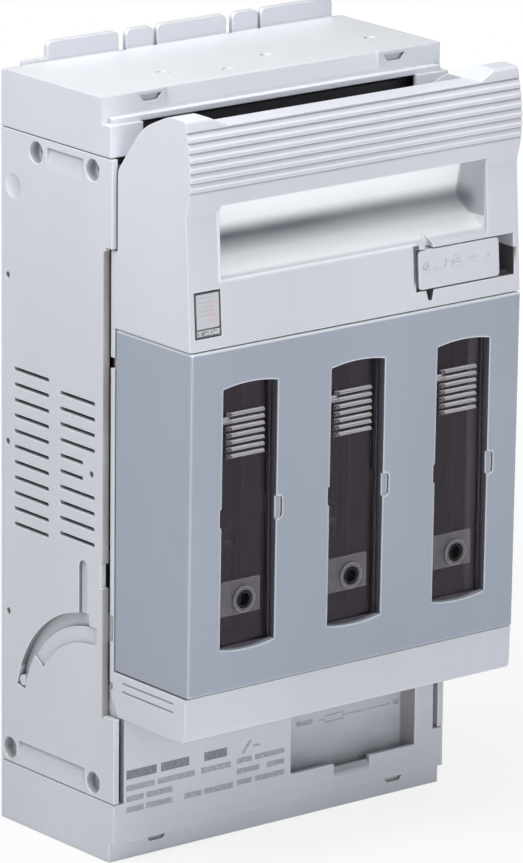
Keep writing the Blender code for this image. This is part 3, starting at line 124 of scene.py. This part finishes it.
class Graph:
    """Short calls that add and link the shader nodes of a material or a world."""

    def __init__(self, owner):
        owner.use_nodes = True
        self.tree = owner.node_tree

    def feed(self, source, socket):
        """Set a socket to a number or a colour, or link it to another node's socket."""
        if isinstance(source, (int, float, tuple)):
            socket.default_value = source
        else:
            self.tree.links.new(source, socket)

    def add(self, kind, *sources, **settings):
        """New node with its settings, and with its first sockets fed in turn."""
        node = self.tree.nodes.new(kind)
        for key, value in settings.items():
            setattr(node, key, value)
        for source, socket in zip(sources, node.inputs):
            self.feed(source, socket)
        return node

    def math(self, operation, *values):
        return self.add("ShaderNodeMath", *values, operation=operation).outputs[0]

    def product(self, first, *others):
        for value in others:
            first = self.math("MULTIPLY", first, value)
        return first

    def largest(self, first, *others):
        for value in others:
            first = self.math("MAXIMUM", first, value)
        return first

    def ramp(self, value, low, high, start=0.0, end=1.0):
        """Smooth step from start to end while the value goes from low to high."""
        return self.add("ShaderNodeMapRange", value, low, high, start, end,
                        interpolation_type="SMOOTHSTEP").outputs[0]

    def band(self, value, low, high, edge=0.0001):
        """One between two limits and nothing outside them."""
        return self.product(self.ramp(value, low - edge, low + edge),
                            self.ramp(value, high - edge, high + edge, 1.0, 0.0))

    def mix(self, share, first, second):
        """Mix of two colours. Sockets 6, 7 and 2 are the node's own for colour."""
        node = self.add("ShaderNodeMix", share, data_type="RGBA")
        self.feed(first, node.inputs[6])
        self.feed(second, node.inputs[7])
        return node.outputs[2]

    def blend(self, share, first, second, output):
        """Mix of two shaders as the surface of an output node."""
        node = self.add("ShaderNodeMixShader", share, first.outputs[0], second.outputs[0])
        self.feed(node.outputs[0], output.inputs["Surface"])


class Surface(Graph):
    """Graph of one material, painted in layers on its own shader."""

    def __init__(self, name):
        self.material = bpy.data.materials.new(name)
        super().__init__(self.material)
        self.shader = self.tree.nodes["Principled BSDF"]
        self.place = self.add("ShaderNodeTexCoord").outputs["Object"]
        self.colour = None

    def dial(self, **sources):
        """Feed the shader's sockets, named with _ for a space."""
        for name, source in sources.items():
            self.feed(source, self.shader.inputs[name.replace("_", " ")])

    def paint(self, colour, share=None):
        """Base colour, or a share of a colour over what is there."""
        self.colour = colour if share is None else self.mix(share, self.colour, colour)
        self.dial(Base_Color=self.colour)

    def relief(self, height, strength, depth, normal):
        """Bumps on top of a rounded normal."""
        bump = self.add("ShaderNodeBump")
        for name, source in (("Strength", strength), ("Distance", depth), ("Height", height), ("Normal", normal)):
            self.feed(source, bump.inputs[name])
        self.dial(Normal=bump.outputs[0])

    def noise(self, scale, detail=3.0, stretch=(1.0, 1.0, 1.0)):
        mapping = self.add("ShaderNodeMapping", self.place)
        self.feed(stretch, mapping.inputs["Scale"])
        node = self.add("ShaderNodeTexNoise", mapping.outputs[0])
        self.feed(scale, node.inputs["Scale"])
        self.feed(detail, node.inputs["Detail"])
        return node.outputs[0]

    def axis(self, index):
        return self.add("ShaderNodeSeparateXYZ", self.place).outputs[index]

    def facing(self, index):
        """Part of the flat face's own normal along one axis."""
        normal = self.add("ShaderNodeNewGeometry").outputs["True Normal"]
        return self.add("ShaderNodeSeparateXYZ", normal).outputs[index]

    def sideways(self):
        return self.math("ABSOLUTE", self.facing(X))

    def pole_offset(self):
        """Distance along X from the middle of the nearest pole."""
        half = POLE_PITCH / 2 * MM
        return self.math("WRAP", self.axis(X), half, -half)

    def steps(self, top, pitch):
        """Share of the way down each step of a row that starts at a height."""
        return self.math("FRACT", self.math("DIVIDE", self.math("SUBTRACT", top, self.axis(Z)), pitch))

    def inside(self, box, edge=0.0001):
        """One inside a box, softened at its sides."""
        limited = [(index, limits) for index, limits in enumerate(box) if limits]
        return self.product(*(self.band(self.axis(index), *limits, edge) for index, limits in limited))

    def edges(self, radius):
        """Rounded normal, and how far it leans from the face's own."""
        bevel = self.add("ShaderNodeBevel", radius, samples=8).outputs[0]
        plain = self.add("ShaderNodeNewGeometry").outputs["Normal"]
        dot = self.add("ShaderNodeVectorMath", bevel, plain, operation="DOT_PRODUCT")
        return bevel, self.ramp(dot.outputs["Value"], 0.90, 0.9995, 1.0, 0.0)

    def crevices(self, reach):
        node = self.add("ShaderNodeAmbientOcclusion", samples=8)
        self.feed(reach, node.inputs["Distance"])
        return node.outputs["AO"]


def moulded(name, colour=LIGHT_GREY, edge_highlight=HIGHLIGHT_AND_MILK_GREY, edge_light=0.75, edge_radius=0.0006, roughness=0.42,
            grain=0.18, gap_shade=0.6):
    """Injection-moulded plastic: fine spark-eroded grain, faint flow marks, painted highlights on its edges and
    painted shade in its gaps.
    """
    graph = Surface(name)
    normal, edge = graph.edges(edge_radius)
    flow = graph.noise(scale=26.0, stretch=(1.0, 1.0, 0.35))
    specks = graph.noise(scale=900.0, detail=4.0)
    darker = toned(colour, 0.955)
    graph.paint(graph.mix(graph.ramp(flow, 0.30, 0.70), darker, toned(colour, 1.03)))
    graph.paint(darker, graph.ramp(specks, 0.55, 0.80, 0.0, 0.10))
    # painted highlight along the edges, where the rounded normal leans away from the face's own
    graph.paint(edge_highlight, graph.product(edge, edge_light))
    # painted shade in narrow and wide gaps, corners and grooves, darker where ambient occlusion finds them closed
    # in
    narrow_gap_shade = graph.ramp(graph.crevices(reach=0.0022), 0.20, 0.80, gap_shade, 0.0)
    wide_gap_shade = graph.ramp(graph.crevices(reach=0.0060), 0.10, 0.55, gap_shade * 1.2, 0.0)
    graph.paint(toned(colour, 0.35), graph.largest(narrow_gap_shade, wide_gap_shade))
    patches = graph.ramp(flow, 0.2, 0.8, roughness - 0.04, roughness + 0.05)
    graph.dial(Roughness=graph.math("ADD", patches, graph.product(edge, -0.05)))
    graph.relief(graph.noise(scale=2600.0, detail=2.0), grain, 0.00003, normal)
    return graph


def metal(name, colour, roughness, streak=(1.0, 1.0, 1.0)):
    """Plated metal with drawn streaks, dull clouds and painted highlights on its edges."""
    graph = Surface(name)
    normal, edge = graph.edges(0.00018)
    streaks = graph.noise(scale=700.0, stretch=streak)
    clouds = graph.noise(scale=120.0, detail=4.0)
    graph.paint(colour)
    graph.paint(toned(colour, 0.72), graph.ramp(clouds, 0.35, 0.75, 0.0, 0.6))
    # painted highlight along the metal's edges
    graph.paint(EDGE_HIGHLIGHT_METAL, graph.product(edge, 0.35))
    graph.dial(Metallic=1.0, Roughness=graph.ramp(streaks, 0.25, 0.75, roughness - 0.08, roughness + 0.10))
    graph.relief(streaks, 0.25, 0.00004, normal)
    return graph.material


def ink(name, colour):
    """Thin worn print."""
    graph = Surface(name)
    graph.paint(colour)
    graph.paint(toned(colour, 1.35), graph.ramp(graph.noise(scale=900.0), 0.35, 0.75))
    graph.dial(Roughness=graph.ramp(graph.noise(scale=500.0), 0.3, 0.7, 0.42, 0.58))
    return graph.material


def clear_plastic():
    """Smoke-tinted clear pane with milky ribs that carry painted highlight lines, a faintly milky tab, painted
    highlights on its edges and painted shade in its test hole.
    """
    graph = Surface("clear_pane")
    normal, edge = graph.edges(0.00022)
    height, across = graph.axis(Z), graph.pole_offset()
    up = graph.math("SUBTRACT", height, TEST_HOLE_HEIGHT * MM)
    from_hole = graph.math("SQRT", graph.math("ADD", graph.product(across, across), graph.product(up, up)))
    tab = graph.band(height, *TAB_HEIGHTS)
    # painted shade filling the test hole, opaque and dark
    hole_shade = graph.product(graph.ramp(from_hole, 0.00176, 0.00184, 1.0, 0.0), tab)
    proud = graph.ramp(graph.axis(Y), -0.07295, -0.07270, 1.0, 0.0)
    step = graph.steps(*RIB_STEPS)
    # painted highlight lines on the ribs, over their milky tone
    rib_highlights = graph.largest(graph.band(step, -0.10, 0.13, 0.06), graph.band(step, 0.50, 0.75, 0.06))
    long_rib = graph.product(graph.band(height, *LONG_RIB_HEIGHTS), 0.75)
    reach = graph.largest(long_rib, graph.ramp(across, -0.0046, -0.0038, 0.30, 1.0))
    ribs = graph.product(graph.band(height, *RIB_HEIGHTS), proud, graph.ramp(rib_highlights, 0.0, 1.0, 0.5, 1.0), reach)
    # milky tab and ribs, with painted highlights on the ribs and the edges
    milk_and_highlight = graph.largest(graph.product(tab, proud, 0.16), graph.product(ribs, 0.92), graph.product(edge, 0.45))
    haze = graph.noise(scale=300.0)
    graph.paint(graph.mix(haze, SMOKE, PALE_SMOKE))
    graph.paint(HIGHLIGHT_AND_MILK_GREY, milk_and_highlight)
    graph.paint(CARBON, hole_shade)
    graph.dial(Transmission_Weight=graph.math("SUBTRACT", 1.0, graph.largest(milk_and_highlight, hole_shade)),
               Roughness=graph.ramp(haze, 0.3, 0.7, 0.03, 0.08), IOR=1.30, Specular_Tint=SMOKE_GLOSS, Normal=normal)
    return graph.material


def housing_plastic():
    """Base's light grey: painted shade on the front edges of the side walls and in the flanks of the arc slots."""
    graph = moulded("housing_grey_moulding")
    shade_noise = graph.ramp(graph.noise(scale=70.0), 0.3, 0.7, 0.70, 0.92)
    # painted shade on the front edges of the side walls, behind the lid's side, mottled
    graph.paint(WALL_FRONT_SHADE, graph.product(graph.inside(WALL_FRONTS), shade_noise))
    walls = graph.band(graph.math("ABSOLUTE", graph.axis(X)), 0.0500, 0.0529)
    flanks = graph.ramp(graph.sideways(), 0.4, 0.6, 0.72, 0.0)
    graph.paint(SLOT_SHADE, graph.product(graph.inside(ARC_SLOTS), walls, flanks))
    return graph.material


def cap_plastic():
    """Upper cover's light grey: painted shade, a trace warmer, on its top faces, and a painted highlight on the
    front faces of its front band.
    """
    graph = moulded("cap_grey_moulding")
    # painted shade on the faces that look up
    graph.paint(CAP_TOP_SHADE, graph.product(graph.ramp(graph.facing(Z), 0.8, 0.95), 0.85))
    forward = graph.ramp(graph.facing(Y), -0.95, -0.8, 1.0, 0.0)
    front_band = graph.ramp(graph.axis(Y), -0.0300, -0.0290, 0.7, 0.0)
    # painted highlight on the front faces of the front band
    graph.paint(CAP_FRONT_HIGHLIGHT, graph.product(forward, front_band))
    return graph.material


def foot_plastic():
    """Lower cover's light grey: label recess with painted shade towards its bottom, and brownish painted shade on
    its right wall.
    """
    graph = moulded("foot_grey_moulding")
    low = graph.ramp(graph.axis(Z), -0.0860, -0.0690, 0.55, 0.06)
    clouds = graph.ramp(graph.noise(scale=110.0, detail=2.0, stretch=(1.0, 1.0, 2.0)), 0.3, 0.7, 0.75, 1.1)
    graph.paint(LABEL_SHADE, graph.product(graph.inside(LABEL_RECESS, edge=0.0002), low, clouds))
    # brownish painted shade on the label recess's right wall
    graph.paint(LABEL_WALL_SHADE, graph.product(graph.inside(LABEL_RIGHT_WALL), 0.65))
    return graph.material


def lid_plastic():
    """Lid's light grey: hand recess lightened with painted light, with painted shade in its crease and on its right
    wall, painted shadows and highlights along the grip's grooves, and painted shade on the window rims and in the
    slide's pocket, notch and seam.
    """
    graph = moulded("lid_grey_moulding")
    recess = graph.inside(HAND_RECESS, edge=0.0005)
    # painted light that makes the whole hand recess paler
    graph.paint(RECESS_HIGHLIGHT, recess)
    graph.paint(RECESS_SHADE, graph.product(graph.inside(RECESS_RIGHT_WALL), 0.62))
    crease = graph.band(graph.axis(Z), 0.0616, 0.0656, 0.0021)
    deep = graph.ramp(graph.axis(Y), -0.0705, -0.0655)
    rightward = graph.ramp(graph.axis(X), -0.0420, 0.0300, 1.0, 0.82)
    shade_noise = graph.ramp(graph.noise(scale=60.0), 0.2, 0.8, 0.90, 1.0)
    # painted shade in the recess's crease, fading to the right, mottled
    graph.paint(RECESS_CREASE_SHADE, graph.product(recess, crease, deep, rightward, shade_noise))
    lip = graph.inside(RECESS_LIP, edge=0.00015)
    jamb = graph.inside(RECESS_LEFT_JAMB, edge=0.00015)
    # painted highlight on the recess's lip and left jamb
    graph.paint(LIP_HIGHLIGHT, graph.product(graph.largest(lip, jamb), 0.6))
    grip = graph.product(graph.inside(GRIP), graph.ramp(graph.sideways(), 0.3, 0.5, 1.0, 0.0))
    step = graph.steps(*GRIP_STEPS)
    # painted shadow under the upper edge of each groove, and a painted highlight on the ridge below it
    graph.paint(GRIP_GROOVE_SHADOW, graph.product(grip, graph.band(step, 0.02, 0.20, 0.04), 0.55))
    graph.paint(GRIP_RIDGE_HIGHLIGHT, graph.product(grip, graph.band(step, 0.50, 0.72, 0.05), 0.5))
    # painted shade on the frame's window rims beside each pole, and in the slide's pocket, notch and seam
    beside_pole = graph.band(graph.math("ABSOLUTE", graph.pole_offset()), 0.0086, 0.0098)
    rims = graph.product(graph.inside(FRAME_OPENINGS), beside_pole, graph.ramp(graph.sideways(), 0.6, 0.8), 0.85)
    notch = graph.product(graph.inside(SLIDE_NOTCH), 0.85)
    seam = graph.product(graph.inside(SLIDE_SEAM), 0.9)
    graph.paint(GAP_SHADE, graph.largest(graph.inside(SLIDE_POCKET, edge=0.0002), rims, notch, seam))
    return graph.material


def cover_plastic():
    """Lid cover's blue-grey: painted highlights on its edges and over its upper edge, and painted shade on the
    right flanks of the windows.
    """
    graph = moulded("blue_grey_moulding", BLUE_GREY, EDGE_HIGHLIGHT_BLUE, edge_light=0.95, edge_radius=0.0009,
                    roughness=0.40, grain=0.22)
    # painted highlight over the cover's top, above its upper edge
    graph.paint(EDGE_HIGHLIGHT_BLUE, graph.ramp(graph.axis(Z), 0.0391, 0.0394, 0.0, 0.6))
    leftward = graph.ramp(graph.facing(X), -0.9, -0.6, 1.0, 0.0)
    # painted shade on the right flanks of the windows
    graph.paint(WINDOW_SHADE, graph.product(leftward, graph.inside(COVER_FRONT), 0.85))
    return graph.material


def marker_card():
    """Marker plate: pale ruled field with a pinkish half, above a short mottled field and a dark dividing line, in
    a dark frame of painted shade.
    """
    graph = moulded("marker_card", CARD_GREY, edge_light=0.6, roughness=0.38, grain=0.10)
    height = graph.axis(Z)
    graph.paint(CARD_PINK, graph.product(graph.inside(CARD_PINK_HALF, edge=0.0004), 0.7))
    wave = graph.math("SINE", graph.product(height, 2 * math.pi / CARD_RULE_PITCH))
    rules = graph.product(graph.ramp(wave, 0.1, 0.8), graph.inside(CARD_RULED_HALF, edge=0.0002))
    graph.paint(CARD_RULE, graph.product(rules, 0.38))
    mottle = graph.ramp(graph.noise(scale=1500.0, detail=1.0), 0.47, 0.56)
    graph.paint(CARD_MOTTLE, graph.product(mottle, graph.inside(CARD_MOTTLED_FIELD), 0.8))
    # painted shade round the card's fields, where it sits in its pocket, and a dark dividing line
    surround = graph.math("SUBTRACT", 1.0, graph.inside(CARD_FIELDS, edge=0.00008))
    divider = graph.product(graph.band(height, 0.0451, 0.0453, 0.00008), 0.8)
    graph.paint(CARD_EDGE_SHADE_AND_DIVIDER, graph.largest(surround, divider))
    return graph.material


GREY = moulded("light_grey_moulding").material
BLACK = moulded("black_moulding", CARBON, EDGE_HIGHLIGHT_CARBON, edge_light=0.6, roughness=0.50, grain=0.04, gap_shade=0.0).material
ZINC = metal("zinc_plate", ZINC_PLATE, 0.34)
BOLD_INK = ink("bold_print", BOLD_PRINT)
FINE_INK = ink("fine_print", FINE_PRINT)
# the rings round the test holes are painted highlights in this print-like finish
HOLE_RIM_HIGHLIGHT_INK = ink("hole_rim_highlight", HOLE_RIM_HIGHLIGHT)

# Each by a part of the node's name
MATERIALS = {
    "base_housing": housing_plastic(),
    "upper_terminal_cover": cap_plastic(),
    "lower_terminal_cover": foot_plastic(),
    "lid_frame": lid_plastic(),
    "lid_cover": cover_plastic(),
    "marker_plate": marker_card(),
    "lock_slide": GREY,
    "window_pane": clear_plastic(),
    "inner_block": BLACK,
    "fuse_carrier": BLACK,
    "contact": metal("silver_plate", SILVER_PLATE, 0.30, streak=(1.0, 0.2, 0.1)),
    "jaw_spring": ZINC,
    "terminal_bolt": ZINC,
    "terminal_nut": ZINC,
}

for node_name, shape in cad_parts.items():
    shape.data.materials.clear()
    shape.data.materials.append(next(value for key, value in MATERIALS.items() if key in node_name))


# Print and raised marks: strokes of a set width on a front face. Their places are X and Z in millimetres.
def stroke(bm, points, width, closed, depth_at, rise):
    """Raised line along points of a face, where depth_at gives the face's Y at a height."""
    count = len(points)
    rings = []
    for index, (x, z) in enumerate(points):
        before = points[index - 1] if closed or index else points[index]
        after = points[(index + 1) % count] if closed or index < count - 1 else points[index]
        along = Vector((after[0] - before[0], after[1] - before[1])).normalized()
        across = Vector((-along.y, along.x)) * width / 2
        ring = []
        for side, lift in ((1, STROKE_SINK), (1, -rise), (-1, -rise), (-1, STROKE_SINK)):
            spot = (x + side * across.x, z + side * across.y)
            ring.append(bm.verts.new(Vector((spot[0], depth_at(spot[1]) + lift, spot[1])) * MM))
        rings.append(ring)
    pairs = list(zip(rings, rings[1:])) + ([(rings[-1], rings[0])] if closed else [])
    for first, second in pairs:
        for corner in range(4):
            following = (corner + 1) % 4
            bm.faces.new((first[corner], first[following], second[following], second[corner]))
    if not closed:
        bm.faces.new(rings[0])
        bm.faces.new(rings[-1])


def line(width, *points, closed=False):
    return (points, width, closed)


def bars(*rows):
    """Level strokes: each row gives a height, a width, and the left and right end of each bar."""
    return [line(width, (left, height), (right, height))
            for height, width, *ends in rows for left, right in ends]


def arc(width, centre, radius, sweep=360, steps=16):
    """Stroke along an arc from its right end, closed when it goes all the way round."""
    angles = [math.radians(sweep * step / steps) for step in range(steps + 1)]
    points = [(centre[0] + radius * math.cos(angle), centre[1] + radius * math.sin(angle)) for angle in angles]
    return line(width, *points[:-1], closed=True) if sweep == 360 else line(width, *points)


def marks(name, strokes, depth_at, rise, material, body):
    bm = bmesh.new()
    for points, width, closed in strokes:
        stroke(bm, points, width, closed, depth_at, rise)
    bmesh.ops.recalc_face_normals(bm, faces=bm.faces)
    mesh = bpy.data.meshes.new(name)
    bm.to_mesh(mesh)
    bm.free()
    mesh.materials.append(material)
    piece = bpy.data.objects.new(name, mesh)
    bpy.context.scene.collection.objects.link(piece)
    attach(piece, body)


def frame_front(node):
    """Y of a node's front face, in millimetres."""
    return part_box(node)[0][1] / MM


def level(y):
    """Depth of a face that stands straight up."""
    return lambda height: y


def upper_front(height):
    """Y of the lid's sloping front above the cover, in millimetres."""
    share = (height - SLOPE_FOOT[0]) / (SLOPE_HEAD[0] - SLOPE_FOOT[0])
    return SLOPE_FOOT[1] + share * (SLOPE_HEAD[1] - SLOPE_FOOT[1])


BOLD_STROKES = bars((-74.5, 2.3, (-49.0, -39.6), (-38.2, -29.4), (-24.6, -17.4)))
FINE_STROKES = [
    *bars((-78.0, 1.5, (-49.0, -40.2), (-39.2, -27.6), (-25.6, -16.2)),
          (-80.8, 1.5, (-49.0, -43.6), (-42.8, -34.6)),
          (-83.6, 1.5, (-49.0, -43.6), (-42.8, -34.6), (-30.8, -25.4), (-24.6, -15.4)),
          (-77.7, 1.4, (-14.2, -9.4), (-8.4, 1.0)),
          (-80.5, 1.4, (-14.2, -7.0), (-4.6, 1.0)),
          (-83.4, 1.4, (-14.2, -9.4), (-8.4, 1.0))),
    line(0.8, (-12.4, -76.0), (-9.8, -72.9)),
    *bars((-74.6, 0.6, (-9.2, -6.8))),
]
SYMBOL_STROKES = [
    *bars((-74.3, 1.3, (9.4, 14.8)), (-74.4, 1.4, (41.3, 43.2)), (-74.5, 0.35, (16.6, 18.7), (24.8, 40.2))),
    line(0.4, (18.7, -75.4), (24.8, -75.4), (24.8, -73.7), (18.7, -73.7), closed=True),
]
SIGN_STROKES = [
    arc(0.5, (21.7, 50.7), 1.25),
    line(0.4, (21.1, 50.3), (22.3, 50.3)),
    line(0.45, (24.8, 49.4), (28.2, 49.7), (28.2, 51.6)),
    arc(0.45, (31.5, 50.6), 1.15, sweep=180, steps=8),
    line(0.5, (30.2, 49.9), (32.8, 49.9)),
    line(0.45, (35.7, 50.6), (38.1, 50.6)),
    line(0.9, (41.3, 50.2), (42.3, 50.2)),
]


def make_marks():
    plate = frame_front("lower_terminal_cover")
    for name, strokes, y, material in (("rating_lines_bold", BOLD_STROKES, plate, BOLD_INK),
                                       ("rating_lines_fine", FINE_STROKES, plate, FINE_INK),
                                       ("label_symbol", SYMBOL_STROKES, plate + LABEL_RECESS_DEPTH, FINE_INK)):
        marks(name, strokes, level(y), PRINT_RISE, material, "base")
    marks("slide_marks", SIGN_STROKES, upper_front, SIGN_RISE, GREY, "lock")
    for number, centre in enumerate((-POLE_PITCH, 0.0, POLE_PITCH), start=1):
        hole = (centre, TEST_HOLE_HEIGHT)
        face = level(frame_front(f"window_pane_{number}") + RIM_RISE)
        # painted highlight rings round each test hole, as thin raised strokes
        rings = [arc(0.45, hole, 2.1, steps=24), arc(0.4, hole, 3.2, steps=24)]
        marks(f"test_hole_highlight_ring_{number}", rings, face, RIM_RISE, HOLE_RIM_HIGHLIGHT_INK, f"pane_{number}")


make_marks()


# Light, floor and camera
def area_light(name, place, aim, size, watts, mirrored=True):
    """Soft rectangle of light that the camera doesn't see."""
    data = bpy.data.lights.new(name, "AREA")
    data.shape = "RECTANGLE"
    data.size, data.size_y = size
    data.energy = watts
    light = bpy.data.objects.new(name, data)
    bpy.context.scene.collection.objects.link(light)
    light.location = place
    light.rotation_euler = (Vector(aim) - Vector(place)).to_track_quat("-Z", "Y").to_euler()
    light.visible_camera = False
    light.visible_glossy = mirrored


def make_floor():
    """Pale floor that keeps the shadow near the object and runs out to white."""
    bm = bmesh.new()
    bmesh.ops.create_circle(bm, cap_ends=True, segments=96, radius=6.0)
    mesh = bpy.data.meshes.new("studio_floor")
    bm.to_mesh(mesh)
    bm.free()
    floor = bpy.data.objects.new("studio_floor", mesh)
    bpy.context.scene.collection.objects.link(floor)
    floor.location = (0.0, 0.0, -0.0972)
    graph = Surface("studio_floor_paint")
    graph.paint(graph.mix(graph.noise(scale=9.0, detail=2.0), FLOOR_GREY, PALE_FLOOR))
    graph.dial(Roughness=0.75)
    length = graph.add("ShaderNodeVectorMath", graph.place, operation="LENGTH")
    far = graph.ramp(length.outputs["Value"], 0.08, 0.45, 0.84, 1.0)
    rays = graph.add("ShaderNodeLightPath").outputs
    seen = graph.largest(rays["Is Camera Ray"], rays["Is Glossy Ray"], rays["Is Transmission Ray"])
    glow = graph.add("ShaderNodeEmission")
    graph.blend(graph.product(far, seen), graph.shader, glow, graph.tree.nodes["Material Output"])
    mesh.materials.append(graph.material)


def make_world():
    """Faint bluish fill light, which the camera and the clear panes see as a pale backdrop."""
    world = bpy.data.worlds.new("studio")
    bpy.context.scene.world = world
    graph = Graph(world)
    fill = graph.tree.nodes["Background"]
    graph.feed(FILL_BLUE, fill.inputs["Color"])
    graph.feed(0.03, fill.inputs["Strength"])
    rays = graph.add("ShaderNodeLightPath").outputs
    seen = graph.largest(rays["Is Camera Ray"], rays["Is Transmission Ray"])
    graph.blend(seen, fill, graph.add("ShaderNodeBackground"), graph.tree.nodes["World Output"])


def make_camera():
    """Long lens from the front left and a little above, as in the photograph."""
    azimuth, pitch, roll = (math.radians(angle) for angle in (38.54, 15.66, 0.58))
    distance, focal_pixels, photo_pixels, sensor = 1.704, 6829.0, 523.0, 36.0
    forward = Vector((math.sin(azimuth) * math.cos(pitch), math.cos(azimuth) * math.cos(pitch), -math.sin(pitch)))
    right = Vector((math.cos(azimuth), -math.sin(azimuth), 0.0))
    up = right.cross(forward)
    rolled_right = right * math.cos(roll) + up * math.sin(roll)
    rolled_up = up * math.cos(roll) - right * math.sin(roll)
    target = right * -0.0016 + Vector((0.0, -0.040, 0.0043))
    data = bpy.data.cameras.new("camera")
    data.sensor_fit = "HORIZONTAL"
    data.sensor_width = sensor
    data.lens = focal_pixels * sensor / photo_pixels
    data.clip_start = 0.05
    data.clip_end = 20.0
    camera = bpy.data.objects.new("camera", data)
    bpy.context.scene.collection.objects.link(camera)
    turn = Matrix((rolled_right, rolled_up, -forward)).transposed().to_4x4()
    camera.matrix_world = Matrix.Translation(target - forward * distance) @ turn
    bpy.context.scene.camera = camera


make_floor()
make_world()
area_light("top_softbox", (-0.05, -0.10, 0.50), (0.0, -0.05, 0.10), (0.35, 0.35), 2.3)
area_light("side_softbox", (-0.34, -0.01, 0.31), (-0.05, -0.03, 0.05), (0.22, 0.22), 1.0)
area_light("front_softbox", (-0.35, -1.20, 0.25), (0.0, -0.05, 0.0), (0.6, 0.6), 5.6)
area_light("far_side_softbox", (1.10, 0.55, 0.02), (0.0, -0.03, 0.0), (0.5, 0.5), 3.0)
area_light("table_glow", (-0.05, -0.45, -0.09), (-0.05, -0.45, 1.0), (0.7, 0.5), 0.9, mirrored=False)
make_camera()
bpy.context.scene.view_settings.view_transform = "Standard"
